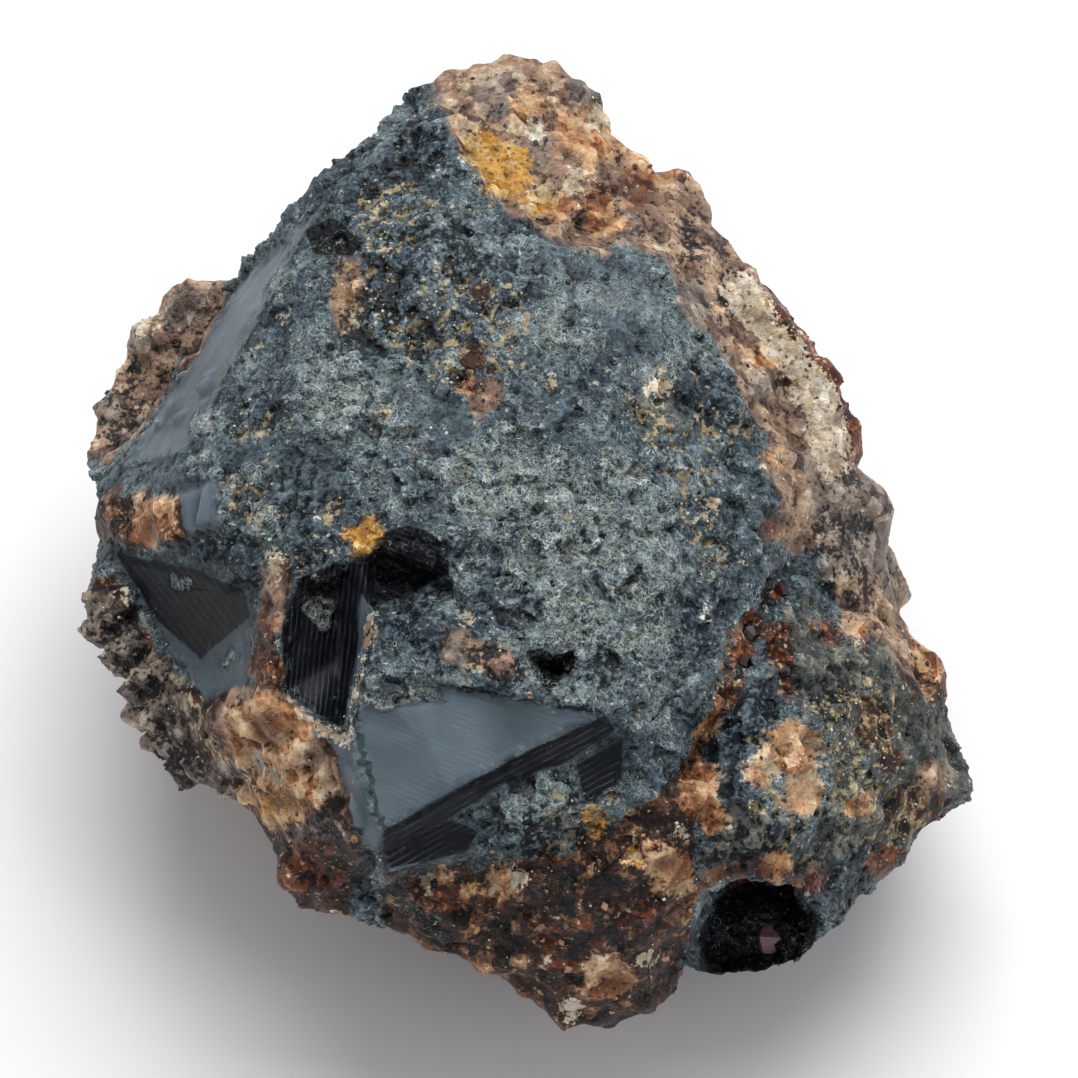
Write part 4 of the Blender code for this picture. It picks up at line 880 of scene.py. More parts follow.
@dataclass
class Colouring:
    """Which tone covers which part of the stone, and how its edges wander."""

    face: FaceFrame = field(default_factory=FaceFrame)
    face_limit: float = 20.0
    fading: float = 5.0
    feather: float = 1.0
    wander: dict[Tone, float] = field(default_factory=lambda: {
        Tone.BROWN: 0.9, Tone.ORANGE: 0.7, Tone.OCHRE: 0.5, Tone.CREAM: 0.3, Tone.MAROON: 0.5,
        Tone.MAUVE: 0.9, Tone.BLACK: 0.15, Tone.SMOOTH: 0.05, Tone.CRUST: 1.5, Tone.DARK: 1.2,
        Tone.PALE: 1.4, Tone.OLIVE: 1.6, Tone.TAUPE: 0.9, Tone.RUST: 0.6,
    })
    zones: dict[Tone, tuple[Any, ...]] = field(default_factory=lambda: {
        Tone.BROWN: (
            # The seam between the dark face and the right lobe.
            Streak(((16.4, -3.6), (14.5, -9.5), (12.1, -13.5), (10.6, -16.4)), 0.5),
            Streak(((25.3, -5.3), (28.3, -9.3)), 1.8), Spot(23.4, -12.4, 1.6), Spot(26.6, -18, 2.2),
            # The tongue.
            Patch((
                (-9.3, -22.5), (-3, -22), (3, -20.6), (6.2, -18.8), (9.3, -16.8), (11.5, -15.5), (12, -22),
                (11.2, -27), (9.5, -34), (3, -34), (-3, -31.5), (-10, -28.5),
            )),
            # The shoulder under the recess, down to the lower left end.
            Patch((
                (-20.8, -10.4), (-17.9, -10.4), (-15.4, -10.8), (-12, -14.4), (-10.2, -20), (-10.8, -25.5),
                (-15, -27), (-19, -21), (-23, -16),
            )),
            # The left blocks' front, the pillar's foot and the scaly left rim.
            Patch(((-29, 3), (-22.5, 3), (-22.3, -0.3), (-29, -0.4))),
            Patch(((-17.6, -5), (-15.6, -5), (-15.6, -10.3), (-17.9, -10.3))),
            Patch((
                (-30, -2.5), (-27.3, -2.6), (-24.8, -7.2), (-21.2, -11.5), (-19, -14.8), (-17.5, -18.5),
                (-22, -18), (-26.5, -12), (-31, -5),
            )),
        ),
        # Greyish brown and flesh: the cap, the band with its knobs, the pillar and the back lobe.
        Tone.MAUVE: (
            Patch((
                (-4.7, 27.3), (-2.7, 24), (-1.3, 22.5), (1.3, 20.8), (3.7, 19.7), (7.3, 19.3), (9.5, 18.8),
                (11.3, 16), (13, 13.3), (14.7, 10), (16.3, 6.7), (17.5, 2.7), (17.3, -0.9), (26, -1),
                (26, 12), (14, 24), (6, 34), (-2, 35), (-5, 32), (-5.6, 29.5),
            )),
            Patch((
                (-31, 5.5), (-27.3, 5.3), (-24.1, 9.3), (-21.5, 13.2), (-18.2, 17.8), (-20, 20), (-26, 19),
                (-31, 12),
            )),
            Patch((
                (-19.6, -9.8), (-15.2, -10.6), (-12.6, -14), (-11.8, -17.4), (-15.4, -17.8), (-19.4, -14),
            )),
            Patch(((-17.2, -1.4), (-15.4, -1.2), (-15.4, -6), (-17.5, -6))), Spot(-18.6, -11.6, 1.4),
            Patch((
                (-11.6, 18.6), (-10.3, 18.8), (-10.5, 15.8), (-11.2, 13.9), (-11.9, 14.2), (-11.5, 16.6),
            )),
            Spot(-2.4, 9.6, 1), Streak(((23, -2), (26.4, -6.6)), 2), Spot(27.6, -16, 1.6),
            Streak(((-3.8, -7), (-1, -8.4)), 0.9),
        ),
        Tone.OLIVE: (
            Patch((
                (17.6, -5), (22, -5.4), (26.6, -8.4), (30.6, -14), (30, -18), (26, -21.5), (21.4, -20.6),
                (20, -17), (20.6, -12), (18, -9.6),
            )),
            Patch(((13.6, -17.6), (18, -19), (22, -21), (18, -23.4), (13, -22))), Spot(8.6, 9, 2.4),
        ),
        Tone.TAUPE: (
            Patch((
                (-30, -2.8), (-27.3, -2.9), (-24.8, -7.5), (-21.2, -11.8), (-18.6, -15), (-20, -18),
                (-26.5, -13), (-31, -5),
            )),
            Patch(((18.6, 5.6), (20.4, 6.4), (25, 5), (26.4, 1), (25, -3.6), (20.6, -2.6), (19.4, 1))),
            Streak(((15.8, 14.2), (18.8, 10.2), (20.6, 6.4)), 0.25), Spot(-28, 8.6, 1.6),
            Spot(-25.6, 13.6, 1.2), Spot(-22.4, 15.6, 1.4), Spot(-1.6, 29.8, 1.4), Spot(0.6, 25.4, 1.5),
            Spot(4.6, 29.6, 1.5), Spot(11.6, 15.6, 1.4), Spot(-4, -7.7, 1.2), Spot(-13, -20.4, 1.4),
            Spot(7, 21, 1.1), Spot(16, 10.6, 0.9),
        ),
        Tone.RUST: (
            Spot(7.9, 23.6, 1.4), Spot(5.3, 22.6, 0.7), Spot(-17, -12.4, 1.0), Spot(10.4, -21.6, 1.2),
            Spot(27.8, -8, 1), Streak(((-16.7, -5.4), (-16.9, -10)), 0.6),
            Streak(((-8.6, -22.6), (-4.4, -24), (-1.6, -24.4)), 0.5), Spot(18.8, -15.4, 0.8),
            Spot(11.4, -17.2, 0.8), Streak(((18.4, 14.4), (21, 9.6), (22.6, 5.4)), 0.7),
            Streak(((14.8, -6.6), (13.4, -10.6), (12, -14.2)), 0.4), Spot(6.4, -29.6, 0.8),
            Spot(-3.2, 12.4, 0.8), Spot(-25.2, 0.6, 0.8), Spot(24.2, -21.4, 1.2), Spot(-16, -17.6, 0.8),
            Streak(((12.6, -22.4), (15.6, -22), (19.4, -22.6)), 0.7), Spot(-11.6, 16, 0.5),
            Spot(2.4, 26, 0.6), Spot(16.6, 1, 0.6), Spot(9.4, 26.4, 0.8), Spot(20.6, -6, 0.8),
        ),
        Tone.ORANGE: (
            Spot(18.1, -13.8, 1.9), Streak(((-5.6, -22.4), (-2.4, -23.6)), 0.5), Spot(-0.9, -23, 1),
            Spot(22.6, -17.6, 0.7), Streak(((14.9, -6.2), (13.6, -10.2), (12.2, -13.4)), 0.2),
            Spot(4, 27.2, 1.6), Spot(17.2, -21.4, 0.9), Spot(16.3, -15.4, 1.0), Spot(18.9, -17, 1.3),
            Spot(-17, -13.1, 3.0), Spot(-15.9, -16.6, 2.5), Spot(10, -22, 1.8), Spot(5.6, -29.4, 1.5),
            Spot(12, -16.2, 1.2), Spot(0.3, 29, 1.4), Spot(5, 26.6, 1.7), Spot(9, 24.6, 1.5),
            Spot(5.6, 21.6, 1.5), Spot(2.6, 22.6, 1.1), Spot(16.8, 5.3, 0.7), Spot(-11.7, 16.7, 0.7),
            Spot(-24.5, 1.2, 1.6), Spot(16.2, 12, 1.0), Spot(-3, 10.4, 0.7), Spot(12.9, -18.7, 0.9),
            Spot(27.6, -7.6, 1.4), Spot(13, 15.4, 0.8), Spot(22, -6, 1),
        ),
        Tone.OCHRE: (
            Spot(-1, 24.4, 1.9), Spot(-2.6, 26.2, 1.2), Spot(1.2, 22.6, 1.2), Spot(-10.1, -0.1, 1.35),
            Spot(7.6, -21, 0.8), Spot(5, -18.7, 0.8), Spot(-16.6, -18, 0.7),
        ),
        Tone.CREAM: (
            Spot(9.3, 10.3, 0.8), Spot(12.7, 2.3, 0.45), Spot(13.2, -0.9, 0.45), Spot(14.8, -1.3, 0.4),
            Spot(2.1, 10.5, 0.4), Spot(5.8, 28.4, 1), Spot(6.1, -17, 0.5), Spot(3.3, -31.3, 0.8),
            Spot(1, 27.4, 0.7), Spot(-26.5, -3.8, 0.5), Spot(-16.3, -1.6, 0.9), Spot(-3.6, -5.2, 0.6),
            Spot(3.4, 24, 0.8), Streak(((14.6, 16.6), (17.9, 12.6), (20.3, 8.4), (20.9, 5)), 1.15),
            Spot(-0.2, -22.4, 0.6), Spot(-17.4, -15, 0.5), Spot(-6.2, -22.9, 0.5), Spot(-19, -11.4, 0.4),
            Spot(8.4, -28, 0.6), Spot(10.6, -19.4, 0.4),
            Streak(((-9.7, -2), (-9.9, -5.2), (-10.6, -7.8), (-11.6, -12.9)), 0.3), Spot(-16.4, -16, 0.6),
            Streak(((-15, -10.7), (-11.7, -13.7)), 0.34), Spot(-9.4, -21.2, 0.5), Spot(-25.2, 14.6, 1),
        ),
        Tone.MAROON: (
            Streak(((17.3, 15.2), (20.2, 11), (22.4, 6)), 0.9), Spot(17.3, -3.3, 0.7), Spot(6, 23.1, 0.8),
            Streak(((17.1, -6.4), (17.9, -10)), 0.6), Streak(((15.2, -5.6), (14.9, -7.8)), 0.6),
            Spot(-2.7, 16.3, 0.6), Spot(-3.2, 11.7, 0.6), Spot(-14, -22.4, 2.4),
            Streak(((-16.9, -6), (-16.8, -9.6)), 0.5), Streak(((-4.7, -9.5), (-2, -9.1), (0.5, -10)), 0.22),
            Spot(14.6, -24, 1.2), Spot(24.6, -14.6, 0.8), Spot(-20.6, -13.4, 0.9), Spot(3.6, -27, 2),
            Spot(7.6, -24.6, 1.4),
        ),
        # Tan crust in the hollows between grains.
        Tone.CRUST: (
            Spot(-4.2, 14, 4.6), Spot(-10, 17, 2.4), Spot(-18.5, 3.4, 2.2), Spot(-8.6, 21, 2.6),
            Spot(12.6, 7, 2), Streak(((8, 9), (10.5, 4), (12.6, -1.4)), 0.9), Spot(22.4, -12.6, 3.4),
            Spot(24.6, -18, 3), Spot(-13.2, -3.4, 1.4), Spot(-17, 7.4, 1.6), Spot(-12.6, 0.6, 1.6),
            Spot(2.6, -18.4, 1.6), Streak(((-9, 8.4), (-5, 6.4)), 0.8), Spot(18, -17, 3),
            Spot(-2.6, -8.6, 1.4), Spot(9.2, 14.4, 1.2), Streak(((-23, -8.4), (-20, -13.4)), 1),
            Spot(13, -10, 1.2),
        ),
        Tone.DARK: (
            Spot(-6.5, 25.4, 2.6), Spot(-0.6, -4.4, 2), Spot(-1.6, -8.6, 1.4), Spot(11.8, -4.6, 1.4),
            Spot(5.6, -8.6, 1), Streak(((15.6, -10.6), (13.6, -15.4)), 1.6), Spot(15.4, -20.4, 2.8),
            Spot(12.4, 8.4, 2.2), Spot(-14.6, 3, 2.6), Spot(-9, 14.6, 3), Spot(-2, 17.2, 3),
            Spot(-6, 19.6, 2.6), Spot(-16.4, -14.2, 0.7), Spot(-13.6, -17.6, 1), Spot(6.6, -27.6, 1.6),
            Spot(-1, -25.2, 1.6), Spot(22.4, 3.4, 1.2), Spot(21.6, -21.6, 3), Spot(-7.4, -4.4, 2.2),
            Spot(1, -19.4, 2), Spot(-20, 0.6, 2.4), Spot(12.2, 19.4, 2.2), Spot(14.6, 17.2, 1.6),
            Streak(((-28, -6), (-24, -12.6), (-19.6, -17)), 1.6), Spot(4, -24.6, 3),
            Spot(-12.6, -19.6, 2.6), Spot(21.4, 1, 2), Spot(22.6, -2.6, 1.6), Spot(-27, 9, 2),
            Spot(20.4, -10.4, 1.6), Spot(-9.6, 24.6, 1.6),
        ),
        Tone.PALE: (
            Spot(-0.6, 4, 4), Spot(1.6, -6, 3.6), Spot(5.6, 1.6, 4.4), Spot(8, -5, 3), Spot(3.4, 13.6, 2.4),
            Spot(5, 16.6, 2.6), Spot(-6.6, 10.2, 1.8), Spot(-13, 9.6, 2.6), Spot(3, -12.6, 2),
            Spot(-12.6, -3.8, 1.2), Spot(1, -18.4, 2.6), Spot(9, 11.6, 2), Spot(-19.4, -6.8, 1.2),
        ),
        Tone.BLACK: (
            # The striated steps, apart from the felted lump that sits on them.
            *STEPS,
            # The recess, the left facet and the overhang's dark block; below the overhang's lip the patch is
            # painted shadow, and the small hole is painted shade.
            Patch((
                (-14.8, -2.6), (-12.4, -1.6), (-10.4, -1.6), (-10.9, -7.7), (-11.7, -12.7), (-13.6, -11.6),
                (-15.9, -10.1), (-15.8, -6),
            )),
            Patch(((-27, -0.8), (-21.7, -2), (-18.6, -3.2), (-17.9, -5), (-21.3, -7.9), (-24.7, -4.8))),
            Patch(((-9, 0.4), (-7.3, 1), (-4.9, 0), (-4.6, -2.2), (-6.9, -3.4), (-10, -4.4), (-11, -2.4))),
            Patch((
                (0.2, -7.4), (1.5, -7), (2.4, -7.7), (3.8, -7.2), (4.2, -8.5), (3.1, -9.1), (2, -10.3),
                (1.1, -9.2),
            )),
            # The dark strip in the tongue.
            Patch(((-9.6, -23.4), (-8.2, -22.8), (-4.2, -26.6), (-5.4, -27.4))),
            # Painted shade: the dark hollow at the upper left, and the one under the right lobe, painted
            # black for the shade in them.
            Patch(((-14.3, 20.7), (-12.5, 21.6), (-10.4, 19.9), (-11.2, 19), (-13.7, 19.2))),
            Patch(((11.8, -26.4), (13, -24), (15, -22.9), (18, -23.3), (20, -25), (19, -30), (12, -30))),
            # The streak is painted shade in the gap under the steps.
            Spot(13.7, -16.7, 0.6), Streak(((-10, -21.6), (-11, -22.4)), 0.5),
        ),
    })
    smooth: tuple[Patch, ...] = (
        Patch(((-10.4, -10.4), (-4.5, -9.9), (5.4, -11.8), (0, -14.1), (-9.3, -19.4), (-11, -14.5))),
        *STEPS,
        Patch((
            (-14.8, -5), (-12.4, -4.2), (-11.4, -1.8), (-10, -1.8), (-9.9, -5), (-11.5, -12.6),
            (-13.6, -11.5), (-15.9, -10.1),
        )),
        Patch(((-27, -0.8), (-21.7, -2), (-18, -3.2), (-17.9, -9.6), (-21, -10.6), (-24.7, -4.8))),
        Patch((
            (-13.4, 22), (-15.4, 19), (-17.6, 14.8), (-20, 10.3), (-22, 6), (-26.4, 5), (-23.7, 9),
            (-18, 18),
        )),
        Patch(((-22.9, 3.8), (-20.3, 3.9), (-20.2, 0.7), (-22.8, 0.6))),
        Patch(((-12.6, -13.4), (-11.3, -13), (-9.5, -19.6), (-9.3, -20.8), (-10.7, -20.4))),
    )
    # Faces that are smoother than the druse but still felted.
    satin: tuple[Patch, ...] = (
        Patch(((0.8, 20.2), (8.1, 19.5), (11.5, 13.9), (8.1, 10.5), (5.5, 13.9), (1.8, 16.5))),
        Patch(((-9.5, 11.5), (-6.5, 11.2), (-3.2, 9.2), (-3.3, 6.5), (-5.9, 6.2), (-8.5, 9.2))),
        Patch(((-20.8, 6.6), (-15.6, 6.8), (-15.4, 4.6), (-20.2, 4.2))),
        Patch(((-17.5, 6), (-12, 6.4), (-11.4, 3), (-16.4, 2.4))),
        Patch(((-27.6, 6), (-22.4, 6), (-22.8, 3.4), (-28, 3))),
    )
    satin_share: float = 0.45
    # Felt that has grown on the smooth faces.
    clumps: tuple[Any, ...] = (
        Spot(-13.3, -4.9, 1.0), Spot(-16, 17, 0.7), Streak(((-10, -10.7), (-5.4, -10.3)), 0.3),
        Spot(-22.6, -3, 0.6), Spot(-21, 7.6, 0.8), Spot(-19.4, -7.8, 0.5),
    )
    # Stains out of sight: tone, size, how sharply they start, how much of the field is clear, salt.
    hidden_stains: tuple[tuple[Tone, float, float, float, int], ...] = (
        (Tone.ORANGE, 4.5, 2.0, 0.7, 73), (Tone.CREAM, 3.1, 2.4, 1.2, 74), (Tone.MAUVE, 5.5, 2.0, 0.8, 75),
        (Tone.CRUST, 3.8, 2.0, 0.5, 76),
    )
    striae: tuple[Striae, ...] = (
        Striae(Patch(((-9.3, -19.4), (5.4, -11.9), (7.2, -13.3), (6, -16.6), (-8.6, -22))), 28, 0.4, 0.07),
        Striae(
            Patch(((-15, -2), (-10, -1.6), (-9.8, -5), (-11.2, -12), (-13.6, -11.6), (-16, -10.2))), 84,
            0.36, 0.06,
        ),
        Striae(
            Patch(((-10.4, -10.4), (-4.5, -9.9), (5.4, -11.8), (0, -14.1), (-9.3, -19.4), (-11, -14.5))),
            158, 0.36, 0.03,
        ),
        Striae(
            Patch(((-12.8, -13.2), (-11.2, -12.8), (-9.3, -19.6), (-9.2, -21), (-10.8, -20.6))), -70, 0.4,
            0.05,
        ),
        Striae(
            Patch(((-27, -0.6), (-21.7, -2), (-18, -3.2), (-17.9, -9.8), (-21, -10.8), (-24.7, -4.8))), -52,
            0.45, 0.014,
        ),
        Striae(
            Patch(((-13.4, 22), (-15.4, 19), (-17.6, 14.8), (-20, 10.3), (-22, 6), (-26.4, 5), (-18, 18))),
            58, 0.7, 0.03,
        ),
        Striae(
            Patch(((-9, 0.5), (-7.3, 1.1), (-5, 0.1), (-4.7, -2), (-7, -1.3), (-9.3, -0.4))), -24, 0.32,
            0.06,
        ),
    )

    def masks(self, points: np.ndarray, garnets: list[tuple[Vector, float]]) -> dict[Tone, np.ndarray]:
        """How much of each tone lies at each place.

        Args:
            points: world places in millimetres before the shift, shape (n, 3).
            garnets: middle and half width of every grown garnet.

        Returns:
            For each tone, n shares from 0 to 1.
        """
        across, up, out = self.face.to_face(points)
        seen = np.clip(0.5 + (out + self.face_limit) / self.fading, 0, 1)
        found: dict[Tone, np.ndarray] = {}
        areas = {**self.zones, Tone.SMOOTH: self.smooth}
        for tone, shapes in areas.items():
            sway = soft_field(points, 2.4, 40 + tone.value) + 0.6 * soft_field(points, 0.9, 60 + tone.value)
            depth = join_zones(shapes, across, up) + self.wander[tone] * sway
            found[tone] = np.clip(0.5 + depth / self.feather, 0, 1) * seen
        sheen = np.clip(0.5 + join_zones(self.satin, across, up) / self.feather, 0, 1)
        sheen = sheen * seen * self.satin_share
        found[Tone.SMOOTH] = np.maximum(found[Tone.SMOOTH], sheen)
        ragged = 0.5 * soft_field(points, 1.1, 81) + 0.4 * soft_field(points, 0.6, 82)
        grown_over = np.clip(0.5 + (join_zones(self.clumps, across, up) + ragged) / 0.4, 0, 1)
        for tone in (Tone.SMOOTH, Tone.BLACK):
            found[tone] *= 1 - grown_over
        found[Tone.PALE] += 3 * grown_over
        found[Tone.CRUST] -= 0.7 * np.maximum(found[Tone.SMOOTH], found[Tone.BLACK])
        # Out of sight the stone is broken matrix with dark garnets, stained in places.
        hidden = 1 - seen
        broad = soft_field(points, 8.5, 71) + 0.5 * soft_field(points, 3.2, 72)
        found[Tone.BROWN] += hidden * np.clip(0.75 + broad, 0, 1)
        for tone, size, gain, least, salt in self.hidden_stains:
            found[tone] += hidden * np.clip(soft_field(points, size, salt) * gain - least, 0, 1)
        depth = np.full(len(points), -9.0)
        for centre, half_width in garnets:
            depth = np.maximum(depth, half_width - np.linalg.norm(points - np.array(centre), axis=1))
        found[Tone.GARNET] = np.clip(0.5 + depth / 0.4, 0, 1) * (0.25 + 0.75 * hidden)
        return found

    def lines(self, points: np.ndarray) -> tuple[np.ndarray, np.ndarray]:
        """The growth lines' phase, and their height in millimetres.

        Args:
            points: world places in millimetres before the shift, shape (n, 3).

        Returns:
            Two arrays of n values.
        """
        across, up, out = self.face.to_face(points)
        phase, tall = np.zeros(len(points)), np.zeros(len(points))
        for face in self.striae:
            within = (face.area.depth(across, up) > -0.3) & (out > -self.face_limit)
            phase[within] = face.phase(across, up)[within]
            tall[within] = face.tall
        return phase, tall


@dataclass(frozen=True)
class Breakage:
    """One size of broken grain: how wide, how far it stands up and how far its top is tilted."""

    wide: float
    tall: float
    tilt: float
    salt: int

    def height(self, points: np.ndarray) -> np.ndarray:
        """How far the grains stand out at each place, in millimetres."""
        _, offset, number = grain_field(points, self.wide, self.salt)
        slope = (offset * (number - 0.5)).sum(axis=1) * 2 * self.wide
        return slope * self.tilt + (number[:, 0] - 0.5) * 2 * self.tall


@dataclass(frozen=True)
class Weathering:
    """How the stone's skin is broken: fine druse on the dark face, and coarse grains on the matrix."""

    druse: tuple[Breakage, ...] = (Breakage(2.2, 0.09, 0.18, 101), Breakage(0.95, 0.06, 0.26, 105))
    matrix: tuple[Breakage, ...] = (Breakage(2.6, 0.12, 0.26, 111), Breakage(1.2, 0.06, 0.24, 115))
    druse_lumps: float = 0.16
    matrix_lumps: float = 0.42
    lump_width: float = 3.4
    most: float = 0.95

    def moves(self, points: np.ndarray, zones: dict[Tone, np.ndarray]) -> np.ndarray:
        """How far each point of the skin moves out.

        Args:
            points: the skin's points in millimetres.
            zones: the shares of each tone there.

        Returns:
            One move in millimetres for each point.
        """
        stained = sum(zones[t] for t in (Tone.BROWN, Tone.ORANGE, Tone.MAROON, Tone.MAUVE, Tone.CREAM))
        stained = stained - zones[Tone.TAUPE]
        matrix = np.clip(stained, 0, 1) * (1 - 0.75 * zones[Tone.GARNET])
        fine = sum(grain.height(points) for grain in self.druse)
        coarse = sum(grain.height(points) for grain in self.matrix)
        lumps = soft_field(points, self.lump_width, 121)
        move = (fine + self.druse_lumps * lumps) * (1 - matrix)
        move = move + (coarse + self.matrix_lumps * lumps) * matrix
        move *= (1 - zones[Tone.SMOOTH]) * (1 - 0.6 * zones[Tone.GARNET]) * (1 - 0.8 * zones[Tone.TAUPE])
        return np.clip(move, -self.most, self.most)


@dataclass(frozen=True)
class Coat:
    """One stain or mineral of the stone's surface: its colours from dark to pale, and how it lies.

    A soft coat fades at its edge and drifts slowly in colour. A veined coat lies only between grains.
    """

    tone: Tone
    colours: tuple[tuple[float, str], ...]
    roughness: float
    broken: float
    fill: float = 1.0
    hollows: float = 0.0
    cover: float = 1.0
    soft: bool = False
    veined: bool = False


@dataclass(frozen=True)
class Felt:
    """Fine pale threads of weathered mineral over the druse: colour, spacing, width, how thick they lie."""

    colour: str
    spacing: float
    thin: float
    chance: float
    cover: float


@dataclass(frozen=True)
class BrokenGarnet:
    """Almandine garnet in iron-stained matrix, broken by hand and weathered.

    The druse is dull slate grey, partly dust and partly a painted sheen of the pale surroundings, under a
    felt of pale threads, with hardly a glint.
    Crystal faces are darker and smooth, with growth lines; the smooth facet's grey is a painted reflection.
    The matrix is earthy: maroon, tan and rust, with crust in its hollows.
    """

    name: str = "garnet_rock_weathered"
    ior: float = 1.73
    gloss: float = 0.13
    # The druse's slate greys: partly dust, partly a painted sheen of the pale surroundings on dark garnet.
    slate: tuple[tuple[float, str], ...] = (
        (0.0, "#0f1518"), (0.28, "#27323a"), (0.5, "#414f58"), (0.74, "#5f6f77"), (1.0, "#869496"),
    )
    slate_roughness: float = 0.52
    clouds: tuple[float, ...] = (0.32, 0.8, 2.1, 6.0)
    felts: tuple[Felt, ...] = (
        Felt("#a9b8b6", 0.55, 0.030, 0.49, 0.7), Felt("#c6d0c8", 0.82, 0.019, 0.525, 0.8),
        Felt("#b3a47f", 0.7, 0.024, 0.545, 0.75), Felt("#8b9c9f", 0.38, 0.045, 0.46, 0.6),
    )
    coats: tuple[Coat, ...] = (
        Coat(Tone.OLIVE, (
            (0.0, "#202422"), (0.4, "#484a43"), (0.7, "#6e6c5e"), (1.0, "#a39a82"),
        ), 0.55, 2.0, 0.8, 0.0, 0.8, soft=True),
        # Smooth crystal faces: their slate grey is a painted reflection of the pale surroundings on dark
        # garnet.
        Coat(Tone.SMOOTH, ((0.0, "#414e56"), (0.5, "#55636c"), (1.0, "#68767e")), 0.42, 0.3),
        Coat(Tone.BLACK, ((0.0, "#030508"), (0.5, "#080d13"), (1.0, "#161d27")), 0.5, 0.2),
        Coat(Tone.BROWN, (
            (0.0, "#0c0808"), (0.3, "#1d1311"), (0.52, "#3b271f"), (0.72, "#7a563e"), (0.88, "#b0895f"),
            (1.0, "#c6a884"),
        ), 0.46, 1.0),
        Coat(Tone.MAUVE, (
            (0.0, "#33241f"), (0.2, "#5c463c"), (0.42, "#8a6f5f"), (0.62, "#a98b72"), (0.8, "#c3a889"),
            (1.0, "#e0cfb8"),
        ), 0.5, -1.2, 0.95, soft=True),
        Coat(Tone.TAUPE, (
            (0.0, "#221e1d"), (0.3, "#5c524d"), (0.6, "#8c7e72"), (1.0, "#c4b4a0"),
        ), 0.46, 1.2, 0.95, 0.0, 0.92, soft=True),
        Coat(Tone.MAROON, (
            (0.0, "#0c0505"), (0.45, "#30150e"), (0.75, "#743d24"), (1.0, "#b07a50"),
        ), 0.34, 1.2, 0.9),
        # Dark patches; the hollows weight draws them into the creases between grains, which is painted shade
        # there.
        Coat(Tone.DARK, ((0.0, "#0a0d0f"), (0.5, "#1d2326"), (1.0, "#454f53")), 0.42, -2.6, 0.5, 0.3, 0.88),
        Coat(Tone.ORANGE, (
            (0.0, "#4d2a1a"), (0.22, "#8c5530"), (0.46, "#bd8c60"), (0.74, "#dab68d"), (1.0, "#f0dfc6"),
        ), 0.48, 1.9, 0.9, 0.0, 0.95, soft=True),
        Coat(Tone.OCHRE, (
            (0.0, "#6f4614"), (0.35, "#b9822e"), (0.65, "#daa653"), (1.0, "#efd9ab"),
        ), 0.6, 2.0, 0.9, 0.0, 0.95, soft=True),
        Coat(Tone.RUST, (
            (0.0, "#26110b"), (0.45, "#5e301d"), (0.75, "#8e522f"), (1.0, "#b78355"),
        ), 0.4, 2.4, 0.8, 0.0, 0.85, soft=True),
        Coat(Tone.CRUST, (
            (0.0, "#7a6443"), (0.5, "#b19d74"), (1.0, "#d9caa5"),
        ), 0.72, 1.7, 0.5, 0.3, 0.85, veined=True),
        Coat(Tone.GARNET, ((0.0, "#0e0808"), (0.5, "#2c1a17"), (1.0, "#65402f")), 0.3, 0.6, 1.0, 0.0, 0.85),
        Coat(Tone.CREAM, ((0.0, "#88745a"), (0.5, "#bfad92"), (1.0, "#f1e9dd")), 0.75, 1.9, 0.95, 0.1),
    )
    # Sparse threads that reach over the smooth faces.
    dusting: tuple[Felt, ...] = (
        Felt("#93a099", 0.4, 0.026, 0.5, 0.5), Felt("#b4b8a4", 0.6, 0.024, 0.52, 0.6),
    )
    bareness: float = 0.7
    soft_edge: float = 0.3
    hard_edge: float = 0.1
    grain_widths: tuple[float, ...] = (0.5, 1.2)
    # The colour of the painted highlights on the growth lines.
    line_highlight_colour: str = "#7d8c96"
    line_share: float = 8.0
    line_most: float = 0.24
    line_bow: float = 0.7
    line_reach: Place = (0.62, 0.95)
    line_fade: Place = (0.36, 0.6)
    felt_edge: float = 0.05
    taking_turns: float = 0.45
    bend: float = 0.8
    gap_reach: Place = (-0.22, -0.34)
    zone_edge: float = 0.3
    # The colour's scale on the sharpest edges, where light is painted, and in the deepest hollows, where
    # shade is painted.
    hollow_shade_edge_light: Place = (1.22, 0.5)
    smooth_flat: float = 0.93
    slate_tilts: tuple[float, ...] = (0.12, 0.13)
    matrix_tilts: tuple[float, ...] = (0.2, 0.24)

    def build(self) -> bpy.types.Material:
        """Makes the material from the stone's zones and from patterns in its own space."""
        material = bpy.data.materials.new(self.name)
        material.use_nodes = True
        tree = material.node_tree
        tree.nodes.clear()
        place = add_node(tree, "ShaderNodeTexCoord", {}).outputs["Object"]
        sway = add_node(tree, NOISE, {"Vector": place, "Scale": per_metre(1.0), "Detail": 1.0})
        bent = add_node(tree, VECTOR_MATH, {
            0: sway.outputs["Color"], 1: (self.bend * MM,) * 3, 2: place,
        }, operation="MULTIPLY_ADD").outputs[0]
        fine, small, broad, wide = (self.cloud(tree, place, size) for size in self.clouds)
        zones = self.zones(tree)
        surface = add_node(tree, "ShaderNodeAttribute", {}, attribute_name="surface")
        phase, tall, hollow = add_node(tree, "ShaderNodeSeparateXYZ", {0: surface.outputs["Vector"]}).outputs
        cell = add_node(
            tree, "ShaderNodeTexVoronoi", {"Vector": bent, "Scale": per_metre(self.grain_widths[-1])},
        )
        own, _, _ = add_node(tree, "ShaderNodeSeparateXYZ", {0: cell.outputs["Color"]}).outputs
        druse = self.stretched(
            tree, ((fine, 0.4), (small, 0.2), (broad, 0.13), (wide, 0.17), (own, 0.1)), 0.16,
        )
        matrix = self.stretched(tree, ((fine, 0.27), (small, 0.34), (broad, 0.22), (own, 0.17)), 0.18)
        drifts = self.stretched(
            tree, ((fine, 0.22), (small, 0.26), (broad, 0.22), (wide, 0.14), (own, 0.16)), 0.155,
        )
